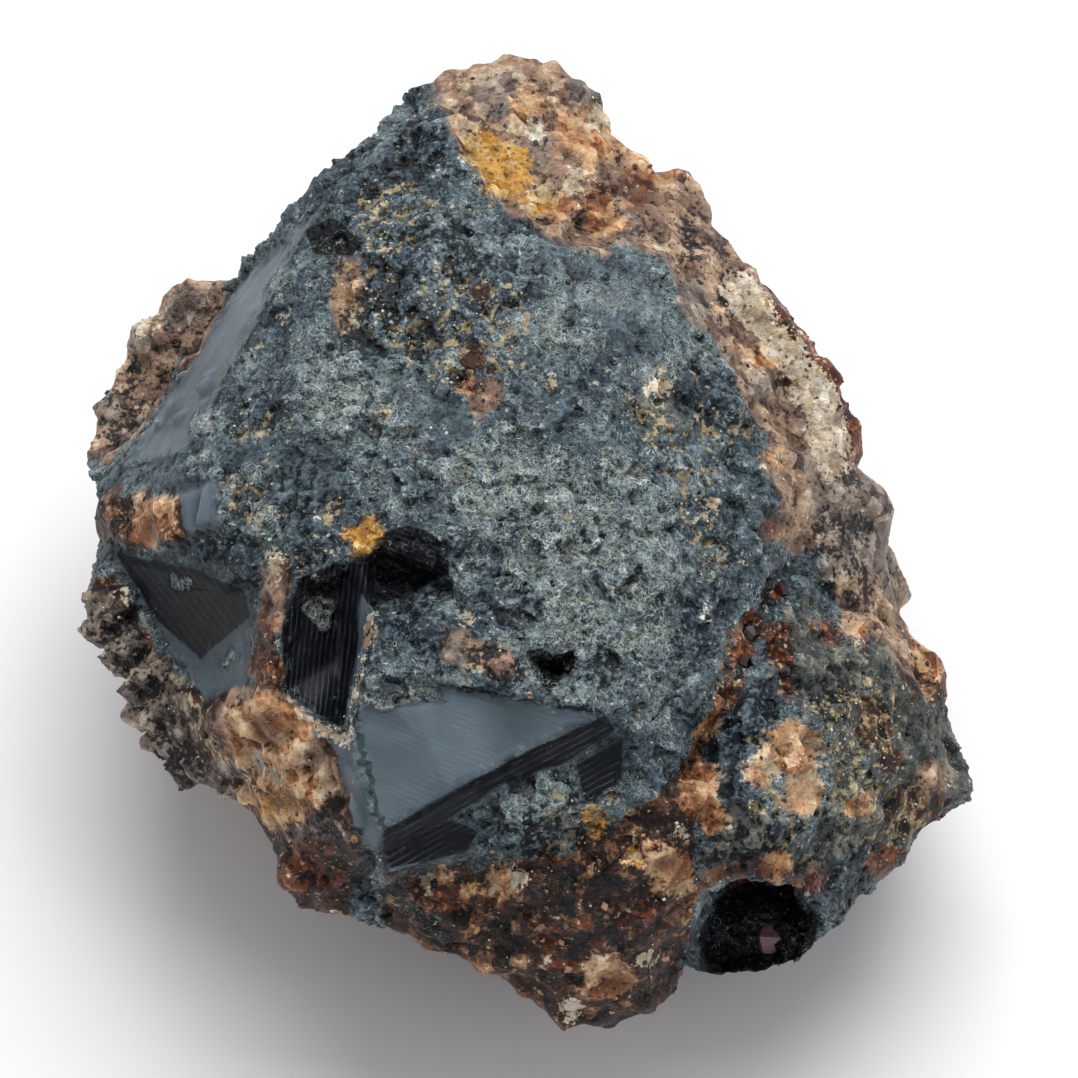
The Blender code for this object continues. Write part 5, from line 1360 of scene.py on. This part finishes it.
        frays = self.mixed(tree, ((fine, 0.4), (small, 0.4), (broad, 0.2)))
        frays = self.sum_of(tree, frays, -0.5)
        colour = add_node(tree, "ShaderNodeValToRGB", {0: druse}, stops=self.slate).outputs[0]
        rough: Any = self.slate_roughness
        colour = self.felted(tree, colour, bent, (small, broad, wide), zones, self.felts)
        bare = self.mixed(tree, ((zones[Tone.BLACK], 0.9), (zones[Tone.SMOOTH], 0.5)))
        for coat in self.coats:
            edge = self.sum_of(tree, 0.0, frays, coat.broken * 2)
            edge = self.sum_of(tree, edge, zones[coat.tone], coat.fill)
            edge = self.sum_of(tree, edge, hollow, coat.hollows)
            flat = coat.tone in (Tone.SMOOTH, Tone.BLACK)
            if not flat:
                edge = self.sum_of(tree, edge, bare, -self.bareness)
            blur = self.soft_edge if coat.soft else self.hard_edge
            share = add_node(tree, MAP_RANGE, {
                "Value": edge, "From Min": 0.5 - blur, "From Max": 0.5 + blur, "To Max": coat.cover,
            }, interpolation_type="SMOOTHSTEP").outputs[0]
            if coat.veined or coat.soft:
                kept = self.gaps(tree, bent, small) if coat.veined else self.near(tree, zones[coat.tone])
                share = add_node(tree, MATH, {0: share, 1: kept}, operation="MULTIPLY").outputs[0]
            pattern = wide if flat else drifts if coat.soft else matrix
            paint = add_node(tree, "ShaderNodeValToRGB", {0: pattern}, stops=coat.colours).outputs[0]
            colour = self.blend(tree, share, colour, paint)
            if coat.tone is Tone.BLACK:
                # Painted highlights along the growth lines of the dark faces.
                colour = self.highlight_growth_lines(tree, colour, self.growth(tree, phase, broad), tall, broad)
                colour = self.felted(tree, colour, bent, (small, broad, wide), zones, self.dusting)
            rough = add_node(tree, "ShaderNodeMix", {0: share, 2: rough, 3: coat.roughness}).outputs[0]
        # Painted shade in the hollows between grains, and painted light on their edges.
        colour = self.shade_hollows_light_edges(tree, colour, hollow)
        rough = self.sum_of(tree, rough, frays, 0.5)
        shader = add_node(tree, "ShaderNodeBsdfPrincipled", {
            "Base Color": colour, "Roughness": rough, "IOR": self.ior, "Metallic": 0.0,
            "Specular IOR Level": self.gloss,
            "Normal": self.relief(
                tree, bent, (fine, small, broad), zones, self.growth(tree, phase, broad), tall,
            ),
        })
        add_node(tree, "ShaderNodeOutputMaterial", {"Surface": shader.outputs[0]})
        return material

    def cloud(self, tree: NodeTree, place: Any, size: float) -> NodeSocket:
        """A soft noise of lumps this many millimetres wide."""
        return add_node(tree, NOISE, {
            "Vector": place, "Scale": per_metre(size), "Detail": 2.0, "Roughness": 0.6,
        }).outputs["Fac"]

    def gaps(self, tree: NodeTree, bent: Any, small: Any) -> NodeSocket:
        """Thin broken lines along the gaps between the larger grains, wider where a noise is high."""
        cell = add_node(tree, "ShaderNodeTexVoronoi", {
            "Vector": bent, "Scale": per_metre(self.grain_widths[-1]),
        }, feature="DISTANCE_TO_EDGE")
        reach = self.sum_of(tree, cell.outputs["Distance"], small, -0.7)
        return add_node(
            tree, MAP_RANGE, {"Value": reach, "From Min": self.gap_reach[0], "From Max": self.gap_reach[1]},
        ).outputs[0]

    def near(self, tree: NodeTree, zone: Any) -> NodeSocket:
        """One inside a zone, falling to nothing where the zone ends."""
        return add_node(tree, MAP_RANGE, {"Value": zone, "From Max": self.zone_edge}).outputs[0]

    def blend(self, tree: NodeTree, share: Any, under: Any, over: Any) -> NodeSocket:
        """One colour laid over another by a share."""
        return add_node(tree, "ShaderNodeMix", {0: share, 6: under, 7: over}, data_type="RGBA").outputs[2]

    def sum_of(self, tree: NodeTree, start: Any, value: Any, weight: float = 1.0) -> NodeSocket:
        """A value times a weight, added to another value."""
        return add_node(tree, MATH, {0: value, 1: weight, 2: start}, operation="MULTIPLY_ADD").outputs[0]

    def mixed(self, tree: NodeTree, parts: Iterable[tuple[NodeSocket, float]]) -> Any:
        """A weighted sum of patterns.

        Args:
            tree: the material's node tree.
            parts: each pattern and its weight.

        Returns:
            The sum's socket.
        """
        total: Any = 0.0
        for value, weight in parts:
            total = self.sum_of(tree, total, value, weight)
        return total

    def stretched(self, tree: NodeTree, parts: Iterable[tuple[Any, float]], reach: float) -> Any:
        """A sum of patterns that fills 0 to 1 where it lies within this reach of a half.

        Args:
            tree: the material's node tree.
            parts: each pattern and its weight.
            reach: how far from a half the sum still counts.

        Returns:
            The stretched sum's socket.
        """
        return add_node(tree, MAP_RANGE, {
            "Value": self.mixed(tree, parts), "From Min": 0.5 - reach, "From Max": 0.5 + reach,
        }).outputs[0]

    def zones(self, tree: NodeTree) -> dict[Tone, NodeSocket]:
        """Reads the tones' shares, three to an attribute, from the stone's mesh."""
        found: dict[Tone, NodeSocket] = {}
        for start in range(0, len(Tone), 3):
            read = add_node(tree, "ShaderNodeAttribute", {}, attribute_name=f"zones_{start // 3}")
            parts = add_node(tree, "ShaderNodeSeparateXYZ", {0: read.outputs["Vector"]})
            for k in range(3):
                found[Tone(start + k)] = parts.outputs[k]
        return found

    def growth(self, tree: NodeTree, phase: Any, broad: Any) -> NodeSocket:
        """Where each place lies between two growth lines, from 0 to 1; the lines bow a little."""
        bow = self.sum_of(tree, phase, broad, self.line_bow)
        return add_node(tree, MATH, {0: bow}, operation="FRACT").outputs[0]

    def highlight_growth_lines(self, tree: NodeTree, colour: Any, wave: Any, tall: Any, cloud: Any) -> NodeSocket:
        """Painted highlights: pale edges on the growth lines of the smooth faces, where light would catch
        them.

        Args:
            tree: the material's node tree.
            colour: the face's colour.
            wave: where each place lies between two growth lines.
            tall: how tall the growth lines are here.
            cloud: noise that fades the lines in places.

        Returns:
            The socket of the colour with its painted highlights.
        """
        edge = add_node(tree, MAP_RANGE, {
            "Value": wave, "From Min": self.line_reach[0], "From Max": self.line_reach[1],
        }, interpolation_type="SMOOTHSTEP").outputs[0]
        fade = add_node(
            tree, MAP_RANGE, {"Value": cloud, "From Min": self.line_fade[0], "From Max": self.line_fade[1]},
        ).outputs[0]
        share = add_node(tree, MATH, {0: edge, 1: fade}, operation="MULTIPLY").outputs[0]
        drawn = add_node(tree, MATH, {0: tall, 1: self.line_share}, operation="MULTIPLY").outputs[0]
        drawn = add_node(tree, MATH, {0: drawn, 1: self.line_most}, operation="MINIMUM").outputs[0]
        share = add_node(tree, MATH, {0: share, 1: drawn}, operation="MULTIPLY").outputs[0]
        return self.blend(tree, share, colour, linear(self.line_highlight_colour))

    def felted(
        self, tree: NodeTree, colour: Any, bent: Any, clouds: tuple[Any, ...], zones: dict[Tone, Any],
        layers: tuple[Felt, ...],
    ) -> NodeSocket:
        """Pale threads over the druse: lines where a bent noise crosses its middle, broken into short runs.

        Args:
            tree: the material's node tree.
            colour: the druse's colour.
            bent: the stone's own space, bent a little.
            clouds: the small, broad and widest noises, which thicken the felt in patches and drifts.
            zones: the shares of each tone.
            layers: the threads, the lowest first.

        Returns:
            The felted colour's socket.
        """
        small, broad, wide = clouds
        drift = self.mixed(tree, (
            (zones[Tone.PALE], 0.07), (zones[Tone.DARK], -0.06), (zones[Tone.SMOOTH], -0.1), (wide, 0.35),
            (broad, 0.2),
        ))
        for number, felt in enumerate(layers):
            thread = add_node(tree, NOISE, {
                "Vector": bent, "Scale": per_metre(felt.spacing), "Detail": 1.0,
            }).outputs["Fac"]
            away = add_node(tree, MATH, {0: thread, 1: 0.5}, operation="SUBTRACT").outputs[0]
            away = add_node(tree, MATH, {0: away}, operation="ABSOLUTE").outputs[0]
            line = add_node(tree, MAP_RANGE, {
                "Value": away, "From Min": felt.thin, "From Max": felt.thin * 0.3,
            }).outputs[0]
            # Every other layer lies where the one under it is thin.
            start, weight = (
                self.taking_turns, -self.taking_turns,
            ) if number % 2 else (0.0, self.taking_turns)
            patch = self.sum_of(tree, start, small, weight)
            lies = add_node(tree, MAP_RANGE, {
                "Value": self.sum_of(tree, drift, patch), "From Min": felt.chance,
                "From Max": felt.chance + self.felt_edge, "To Max": felt.cover,
            }).outputs[0]
            share = add_node(tree, MATH, {0: line, 1: lies}, operation="MULTIPLY").outputs[0]
            colour = self.blend(tree, share, colour, linear(felt.colour))
        return colour

    def shade_hollows_light_edges(self, tree: NodeTree, colour: Any, hollow: Any) -> NodeSocket:
        """Paints shade into the hollows between grains, and paints light on the edges a little."""
        share = add_node(tree, MAP_RANGE, {
            "Value": hollow, "From Min": -1.0, "To Min": self.hollow_shade_edge_light[0], "To Max": self.hollow_shade_edge_light[1],
        }).outputs[0]
        return add_node(tree, VECTOR_MATH, {0: colour, 3: share}, operation="SCALE").outputs[0]

    def relief(
        self, tree: NodeTree, bent: Any, clouds: tuple[Any, ...], zones: dict[Tone, Any], wave: Any,
        tall: Any,
    ) -> NodeSocket:
        """Fine relief in millimetres: flakes tilted every way, soft pits, and growth lines on smooth faces.

        Args:
            tree: the material's node tree.
            bent: the stone's own space, bent a little.
            clouds: the fine, small and broad noises.
            zones: the shares of each tone.
            wave: where each place lies between two growth lines.
            tall: how tall the growth lines are here.

        Returns:
            The bent normal's socket.
        """
        fine, small, broad = clouds
        height = self.mixed(tree, ((fine, 0.2), (small, 0.24), (broad, 0.3)))
        earthy = add_node(tree, MATH, {
            0: zones[Tone.BROWN], 1: zones[Tone.MAUVE],
        }, operation="MAXIMUM").outputs[0]
        for wide, slate_tilt, matrix_tilt in zip(self.grain_widths, self.slate_tilts, self.matrix_tilts):
            cell = add_node(tree, "ShaderNodeTexVoronoi", {"Vector": bent, "Scale": per_metre(wide)})
            away = add_node(tree, VECTOR_MATH, {
                0: bent, 1: cell.outputs["Position"],
            }, operation="SUBTRACT").outputs[0]
            lean = add_node(tree, VECTOR_MATH, {
                0: cell.outputs["Color"], 1: (0.5, 0.5, 0.5),
            }, operation="SUBTRACT").outputs[0]
            slope = add_node(tree, VECTOR_MATH, {0: away, 1: lean}, operation="DOT_PRODUCT").outputs["Value"]
            tilt = self.sum_of(tree, 2 * slate_tilt / MM, earthy, 2 * (matrix_tilt - slate_tilt) / MM)
            height = add_node(
                tree, MATH, {0: slope, 1: tilt, 2: height}, operation="MULTIPLY_ADD",
            ).outputs[0]
        rest = self.sum_of(tree, 1.0, zones[Tone.SMOOTH], -self.smooth_flat)
        height = add_node(tree, MATH, {0: height, 1: rest}, operation="MULTIPLY").outputs[0]
        fade = self.sum_of(tree, -0.6, broad, 3.2)
        lines = add_node(tree, MATH, {0: wave, 1: tall}, operation="MULTIPLY").outputs[0]
        height = add_node(tree, MATH, {0: lines, 1: fade, 2: height}, operation="MULTIPLY_ADD").outputs[0]
        return add_node(
            tree, "ShaderNodeBump", {"Strength": 1.0, "Distance": MM, "Height": height},
        ).outputs[0]


@dataclass(frozen=True)
class GrainFinish:
    """Small grown crystals of one mineral, each with its own shade, with flat faces that catch light."""

    name: str
    colours: tuple[tuple[float, str], ...]
    roughness: float
    ior: float
    gloss: float = 0.5
    transmission: float = 0.0

    def build(self) -> bpy.types.Material:
        """Makes the material, whose shade comes from each grain's own random number."""
        material = bpy.data.materials.new(self.name)
        material.use_nodes = True
        tree = material.node_tree
        tree.nodes.clear()
        chance = add_node(tree, "ShaderNodeAttribute", {}, attribute_name="chance").outputs["Fac"]
        place = add_node(tree, "ShaderNodeTexCoord", {}).outputs["Object"]
        cloud = add_node(tree, NOISE, {"Vector": place, "Scale": per_metre(0.25), "Detail": 2.0})
        shade = add_node(tree, MATH, {
            0: cloud.outputs["Fac"], 1: 0.35, 2: -0.17,
        }, operation="MULTIPLY_ADD").outputs[0]
        shade = add_node(tree, MATH, {0: shade, 1: chance}, operation="ADD").outputs[0]
        colour = add_node(tree, "ShaderNodeValToRGB", {0: shade}, stops=self.colours).outputs[0]
        rough = add_node(tree, MATH, {
            0: cloud.outputs["Fac"], 1: 0.3, 2: self.roughness - 0.15,
        }, operation="MULTIPLY_ADD").outputs[0]
        shader = add_node(tree, "ShaderNodeBsdfPrincipled", {
            "Base Color": colour, "Roughness": rough, "IOR": self.ior, "Specular IOR Level": self.gloss,
            "Transmission Weight": self.transmission,
        })
        add_node(tree, "ShaderNodeOutputMaterial", {"Surface": shader.outputs[0]})
        return material


@dataclass
class Stone:
    """The whole stone: its skin, and what of it the grains grow on."""

    form: StoneForm = field(default_factory=StoneForm)
    colouring: Colouring = field(default_factory=Colouring)
    weathering: Weathering = field(default_factory=Weathering)
    finish: BrokenGarnet = field(default_factory=BrokenGarnet)
    sharp: float = math.radians(38)
    deepest: float = 0.05
    rounding: int = 4
    zones: dict[Tone, np.ndarray] = field(default_factory=dict)
    skin: Any = None

    def build(self) -> bpy.types.Object:
        """Makes the skin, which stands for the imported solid, and dresses it."""
        mesh = self.form.open_hollow(self.form.body())
        self.form.grow_crystals(mesh)
        mesh = self.form.fused(mesh)
        self.weather(mesh)
        mesh = self.form.thinned(mesh)
        keep_largest(mesh)
        cut_flat(mesh)
        self.skin = object_from(mesh, "stone_skin")
        points = self.points()
        self.zones = self.colouring.masks(points, self.form.grown)
        self.paint(points)
        data = self.skin.data
        data.transform(Matrix.Scale(MM, 4) @ Matrix.Translation(self.form.face.shift()))
        data.shade_smooth()
        data.set_sharp_from_angle(angle=self.sharp)
        data.materials.append(self.finish.build())
        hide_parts(NODE)
        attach(self.skin, "root")
        LOG.info("stone skin: %d faces", len(data.polygons))
        return self.skin

    def points(self) -> np.ndarray:
        """The skin's points, shape (n, 3)."""
        flat = np.empty(len(self.skin.data.vertices) * 3, np.float32)
        self.skin.data.vertices.foreach_get("co", flat)
        return flat.reshape(-1, 3).astype(float)

    def weather(self, mesh: BMesh) -> None:
        """Breaks the fused skin into druse and grains."""
        self.soften(mesh, mesh.verts[:], 1)
        mesh.normal_update()
        points = np.array([vert.co for vert in mesh.verts])
        zones = self.colouring.masks(points, self.form.grown)
        for vert, move in zip(mesh.verts, self.weathering.moves(points, zones)):
            vert.co += vert.normal * float(move)
        earthy = zones[Tone.BROWN] + zones[Tone.MAUVE] + zones[Tone.ORANGE] - zones[Tone.TAUPE] > 0.5
        self.soften(mesh, [vert for vert, rounded in zip(mesh.verts, earthy) if rounded], self.rounding)

    def soften(self, mesh: BMesh, verts: list[BMVert], times: int) -> None:
        """Draws each of these vertices half way to the middle of its neighbours, this many times."""
        for _ in range(times):
            bmesh.ops.smooth_vert(
                mesh, verts=verts, factor=0.5, use_axis_x=True, use_axis_y=True, use_axis_z=True,
            )

    def paint(self, points: np.ndarray) -> None:
        """Stores the tones' shares and the growth lines on the mesh for its material."""
        data = self.skin.data
        for start in range(0, len(Tone), 3):
            layer = data.attributes.new(f"zones_{start // 3}", "FLOAT_VECTOR", "POINT")
            shares = np.stack([self.zones[Tone(start + k)] for k in range(3)], axis=1)
            layer.data.foreach_set("vector", shares.astype(np.float32).ravel())
        phase, tall = self.colouring.lines(points)
        layer = data.attributes.new("surface", "FLOAT_VECTOR", "POINT")
        rows = np.stack([phase, tall, self.hollows(points)], axis=1)
        layer.data.foreach_set("vector", rows.astype(np.float32).ravel())

    def hollows(self, points: np.ndarray) -> np.ndarray:
        """How each point of the skin lies between its neighbours.

        Args:
            points: the skin's points in millimetres.

        Returns:
            From -1 on a sharp edge to 1 in a deep crease.
        """
        data = self.skin.data
        pairs = np.empty(len(data.edges) * 2, np.int32)
        data.edges.foreach_get("vertices", pairs)
        pairs = pairs.reshape(-1, 2)
        near, far = np.concatenate([pairs[:, 0], pairs[:, 1]]), np.concatenate([pairs[:, 1], pairs[:, 0]])
        normals = np.empty(len(points) * 3, np.float32)
        data.vertices.foreach_get("normal", normals)
        count = np.maximum(1, np.bincount(near, minlength=len(points)))
        side = ((points[far] - points[near]) * normals.reshape(-1, 3)[near]).sum(axis=1)
        bend = np.bincount(near, side, len(points)) / count
        for _ in range(2):
            bend = (bend + np.bincount(near, bend[far], len(points)) / count) / 2
        return np.clip(bend / self.deepest, -1, 1)


def keep_largest(mesh: BMesh) -> None:
    """Keeps only the largest connected shell."""
    left, shells = set(mesh.verts), []
    while left:
        shell, edge = set(), [left.pop()]
        while edge:
            vert = edge.pop()
            shell.add(vert)
            for link in vert.link_edges:
                other = link.other_vert(vert)
                if other in left:
                    left.remove(other)
                    edge.append(other)
        shells.append(shell)
    keep = max(shells, key=len)
    bmesh.ops.delete(mesh, geom=[v for v in mesh.verts if v not in keep], context="VERTS")


def cut_flat(mesh: BMesh) -> None:
    """Cuts the broken flat at z = 0, which the stone lies on, and closes it."""
    whole = mesh.verts[:] + mesh.edges[:] + mesh.faces[:]
    cut = bmesh.ops.bisect_plane(
        mesh, geom=whole, dist=1e-5, plane_co=(0, 0, 0), plane_no=(0, 0, 1), clear_inner=True
    )
    rim = [e for e in cut["geom_cut"] if isinstance(e, BMEdge)]
    for edge in rim:
        for vert in edge.verts:
            vert.co.z = 0
    bmesh.ops.holes_fill(mesh, edges=rim, sides=0)
    bmesh.ops.triangulate(mesh, faces=mesh.faces[:])
    bmesh.ops.recalc_face_normals(mesh, faces=mesh.faces[:])


@dataclass(frozen=True)
class Druse:
    """Grains grown over part of the stone: tiny garnets, each partly sunk in the skin."""

    name: str
    count: int
    smallest: float
    largest: float
    sunk: float
    seed: int
    finish: GrainFinish
    everywhere: float
    likes: dict[Tone, float]
    bare_foot: float = 1.5
    fineness: float = 2.2

    def crystal(self) -> tuple[np.ndarray, np.ndarray]:
        """The corners and triangles of a rhombic dodecahedron of half width 1."""
        mesh = bmesh.new()
        bmesh.ops.convex_hull(mesh, input=[mesh.verts.new(c / 2) for c in garnet_corners()])
        bmesh.ops.triangulate(mesh, faces=mesh.faces[:])
        bmesh.ops.recalc_face_normals(mesh, faces=mesh.faces[:])
        mesh.verts.index_update()
        corners = np.array([v.co for v in mesh.verts])
        faces = np.array([[v.index for v in f.verts] for f in mesh.faces])
        mesh.free()
        return corners, faces

    def build(self, stone: Stone) -> bpy.types.Object:
        """Scatters the grains over the stone's skin and joins them.

        Args:
            stone: the finished stone.

        Returns:
            One object that holds them all.
        """
        draw = np.random.default_rng(self.seed)
        points = stone.points()
        data = stone.skin.data
        corners = np.empty(len(data.polygons) * 3, np.int32)
        data.polygons.foreach_get("vertices", corners)
        corners = corners.reshape(-1, 3)
        liking = np.full(len(points), self.everywhere)
        for tone, weight in self.likes.items():
            liking = liking + weight * stone.zones[tone]
        a, b, c = (points[corners[:, k]] for k in range(3))
        slant = np.cross(b - a, c - a)
        area = np.linalg.norm(slant, axis=1)
        weight = area * np.clip(liking[corners].mean(axis=1), 0, None)
        weight[c[:, 2] < self.bare_foot * MM] = 0
        chosen = draw.choice(len(corners), self.count, p=weight / weight.sum())
        mix = draw.dirichlet((1, 1, 1), self.count)
        middle = mix[:, :1] * a[chosen] + mix[:, 1:2] * b[chosen] + mix[:, 2:] * c[chosen]
        share = draw.random(self.count) ** self.fineness
        size = (self.smallest + (self.largest - self.smallest) * share) / 2 * MM
        normal = slant[chosen] / area[chosen][:, None]
        middle = middle - normal * (size * self.sunk)[:, None]
        turn = draw.normal(size=(self.count, 4))
        turn /= np.linalg.norm(turn, axis=1)[:, None]
        w, x, y, z = turn.T
        matrix = np.array([
            [1 - 2 * (y * y + z * z), 2 * (x * y - z * w), 2 * (x * z + y * w)],
            [2 * (x * y + z * w), 1 - 2 * (x * x + z * z), 2 * (y * z - x * w)],
            [2 * (x * z - y * w), 2 * (y * z + x * w), 1 - 2 * (x * x + y * y)],
        ]).transpose(2, 0, 1)
        shape, faces = self.crystal()
        stretched = shape[None] * (size[:, None] * draw.uniform(0.7, 1.25, (self.count, 3)))[:, None]
        placed = np.einsum("nij,nkj->nki", matrix, stretched) + middle[:, None]
        joined = (faces[None] + len(shape) * np.arange(self.count)[:, None, None]).reshape(-1, 3)
        mesh = bpy.data.meshes.new(self.name)
        mesh.from_pydata(placed.reshape(-1, 3).tolist(), [], joined.tolist())
        layer = mesh.attributes.new("chance", "FLOAT", "POINT")
        layer.data.foreach_set("value", np.repeat(draw.random(self.count), len(shape)).astype(np.float32))
        mesh.materials.append(self.finish.build())
        grains = bpy.data.objects.new(self.name, mesh)
        bpy.context.scene.collection.objects.link(grains)
        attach(grains, "root")
        LOG.info("%s: %d crystals", self.name, self.count)
        return grains


@dataclass(frozen=True)
class Gems:
    """A few glassy garnets of one colour that stand out: middle on the face and half width of each."""

    name: str
    places: tuple[Corner, ...]
    finish: GrainFinish
    seed: int
    sunk: float = 0.45

    def build(self, stone: Stone) -> bpy.types.Object:
        """Sets the garnets into the skin.

        Args:
            stone: the finished stone.

        Returns:
            One object that holds them all.
        """
        draw = random.Random(self.seed)
        face = stone.form.face
        surface = BVHTree.FromObject(stone.skin, bpy.context.evaluated_depsgraph_get())
        mesh = bmesh.new()
        for across, up, half_width in self.places:
            start, behind = (face.to_world(across, up, out) + face.shift() for out in (face.clear, 0))
            sight = (behind - start).normalized()
            point, _, _, _ = surface.ray_cast(start * MM, sight)
            stone.form.add_garnet(mesh, point / MM + sight * half_width * self.sunk, half_width, draw)
        bmesh.ops.triangulate(mesh, faces=mesh.faces[:])
        bmesh.ops.recalc_face_normals(mesh, faces=mesh.faces[:])
        mesh.transform(Matrix.Scale(MM, 4))
        gems = object_from(mesh, self.name)
        layer = gems.data.attributes.new("chance", "FLOAT", "POINT")
        layer.data.foreach_set("value", [0.5] * len(gems.data.vertices))
        gems.data.materials.append(self.finish.build())
        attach(gems, "root")
        LOG.info("%s: %d crystals", self.name, len(self.places))
        return gems


DRUSES = (
    Druse("slate_druse", 3000, 0.2, 0.55, 0.5, 11, GrainFinish(
        # Fine garnet druse, dull from dust: slate grey, partly a painted sheen, with hardly a glint.
        "garnet_druse", (
            (0.1, "#1d2528"), (0.5, "#3d494e"), (0.8, "#5d6b70"), (0.95, "#8f9b96"),
        ), 0.5, 1.73, 0.3,
    ), 1.0, {Tone.BROWN: -1, Tone.SMOOTH: -1.6, Tone.BLACK: -0.9, Tone.ORANGE: -1, Tone.CREAM: -0.6}),
    Druse("matrix_grains", 3800, 0.2, 0.85, 0.6, 12, GrainFinish(
        # Garnet grains crowded in the matrix: maroon glass with rust and tan between.
        "garnet_grains_stained", (
            (0.1, "#140b0b"), (0.4, "#301a16"), (0.62, "#553325"), (0.82, "#8a6142"), (0.95, "#bb976c"),
        ), 0.4, 1.73, 0.35,
    ), 0.0, {
        Tone.BROWN: 1, Tone.MAROON: 1.4, Tone.SMOOTH: -1.6, Tone.BLACK: -1, Tone.TAUPE: -0.9,
        Tone.MAUVE: 0.16,
    }),
    Druse("pale_crust", 4200, 0.1, 0.3, 0.3, 13, GrainFinish(
        # Feldspar crumbs and dust crust: chalky cream.
        "feldspar_crumbs", ((0.1, "#8a774f"), (0.5, "#b3a37e"), (0.9, "#ddd5bc")), 0.7, 1.53, 0.3,
    ), 0.05, {
        Tone.CREAM: 3, Tone.CRUST: 1.2, Tone.BROWN: 0.2, Tone.OCHRE: 0.6, Tone.SMOOTH: -0.5, Tone.BLACK: -1,
    }),
)
GEMS = (
    Gems("amber_garnets", ((-3.2, 11.8, 0.95), (-2.7, 16.3, 0.7), (-1.9, 11.2, 0.5)), GrainFinish(
        # Clear amber-brown garnet: glassy, with light inside it.
        "garnet_amber_clear", ((0.3, "#2c1308"), (0.5, "#632f13"), (0.7, "#94552a")), 0.08, 1.73, 0.8, 0.7,
    ), 21),
    Gems("red_garnets", (
        (17.3, -3.3, 0.8), (15.2, -6.4, 0.9), (17.5, -8.6, 0.8), (14.9, -7.9, 0.6),
    ), GrainFinish(
        # Clear dark red garnet: nearly black, red where light comes through.
        "garnet_red_clear", ((0.3, "#190807"), (0.5, "#38130f"), (0.7, "#5d2a20")), 0.12, 1.73, 0.7, 0.5,
    ), 22),
    Gems("rose_glint_crystal", ((16.6, -26.5, 1.7),), GrainFinish(
        # Rose crystal deep in the hollow: greyish pink, a painted glint on a crystal there, with a soft
        # shine.
        "garnet_rose_glint", ((0.3, "#4d3236"), (0.5, "#7a565c"), (0.7, "#94717a")), 0.3, 1.73, 0.5,
    ), 23),
)


@dataclass(frozen=True)
class Studio:
    """A pale floor, soft light from above and behind, and a camera square to the stone's main face."""

    face: FaceFrame = field(default_factory=FaceFrame)
    frame_width: float = 1078 / 15
    aim_across: float = 1.27
    aim_up: float = 0.07
    sensor: float = 36.0
    floor_half: float = 1.5
    floor_colour: str = "#f6f6f7"
    sky: float = 0.44
    key_power: float = 2.7
    fill_power: float = 0.3
    key_spot: Corner = (0.04, 0.2, 0.5)
    fill_spot: Corner = (0.45, -0.2, 0.35)
    lamp_size: float = 0.4
    floor_roughness: float = 0.9
    floor_gloss: float = 0.2

    def place(self, across: float, up: float, out: float) -> Vector:
        """A point of the face's frame in metres, without the spread of sight lines."""
        lean = self.face.lean
        spot = Vector((
            across, up * math.sin(lean) - out * math.cos(lean),
            up * math.cos(lean) + out * math.sin(lean) + self.face.height,
        ))
        return (spot + self.face.shift()) * MM

    def add_light(self, name: str, spot: Vector, target: Vector, power: float) -> None:
        """Adds a square soft light.

        Args:
            name: its name.
            spot: where it is, in metres.
            target: what it faces, in metres.
            power: in watts.
        """
        lamp = bpy.data.lights.new(name, "AREA")
        lamp.size = self.lamp_size
        lamp.energy = power
        obj = bpy.data.objects.new(name, lamp)
        obj.location = spot
        obj.rotation_euler = (target - spot).to_track_quat("-Z", "Y").to_euler()
        bpy.context.scene.collection.objects.link(obj)

    def build(self) -> None:
        """Makes the floor, the lights, the world and the camera."""
        half = self.floor_half
        mesh = bpy.data.meshes.new("studio_floor")
        mesh.from_pydata(
            [(-half, -half, 0), (half, -half, 0), (half, half, 0), (-half, half, 0)], [], [(0, 1, 2, 3)],
        )
        floor = bpy.data.objects.new("studio_floor", mesh)
        bpy.context.scene.collection.objects.link(floor)
        material = bpy.data.materials.new("paper_matt")
        material.use_nodes = True
        shader = material.node_tree.nodes["Principled BSDF"]
        shader.inputs["Base Color"].default_value = linear(self.floor_colour)
        shader.inputs["Roughness"].default_value = self.floor_roughness
        shader.inputs["Specular IOR Level"].default_value = self.floor_gloss
        mesh.materials.append(material)
        target = self.place(0, 0, 0)
        self.add_light("key_above", Vector(self.key_spot), target, self.key_power)
        self.add_light("fill_right", Vector(self.fill_spot), target, self.fill_power)
        world = bpy.data.worlds.new("soft_room")
        world.use_nodes = True
        world.node_tree.nodes["Background"].inputs["Color"].default_value = (
            self.sky, self.sky, self.sky * 1.03, 1,
        )
        bpy.context.scene.world = world
        bpy.context.scene.view_settings.view_transform = "Standard"
        lens = bpy.data.cameras.new("camera")
        lens.sensor_width = self.sensor
        lens.lens = self.sensor * self.face.sight / self.frame_width
        lens.clip_start = 0.01
        camera = bpy.data.objects.new("camera", lens)
        camera.location = self.place(self.aim_across, self.aim_up, self.face.sight)
        camera.rotation_euler = (math.pi / 2 - self.face.lean, 0, 0)
        bpy.context.scene.collection.objects.link(camera)
        bpy.context.scene.camera = camera


def main() -> None:
    """Builds the stone, its grains and the studio."""
    logging.basicConfig(level=logging.INFO, format="%(name)s: %(message)s")
    stone = Stone()
    stone.build()
    for grown in DRUSES + GEMS:
        grown.build(stone)
    Studio().build()


if __name__ == "__main__":
    main()
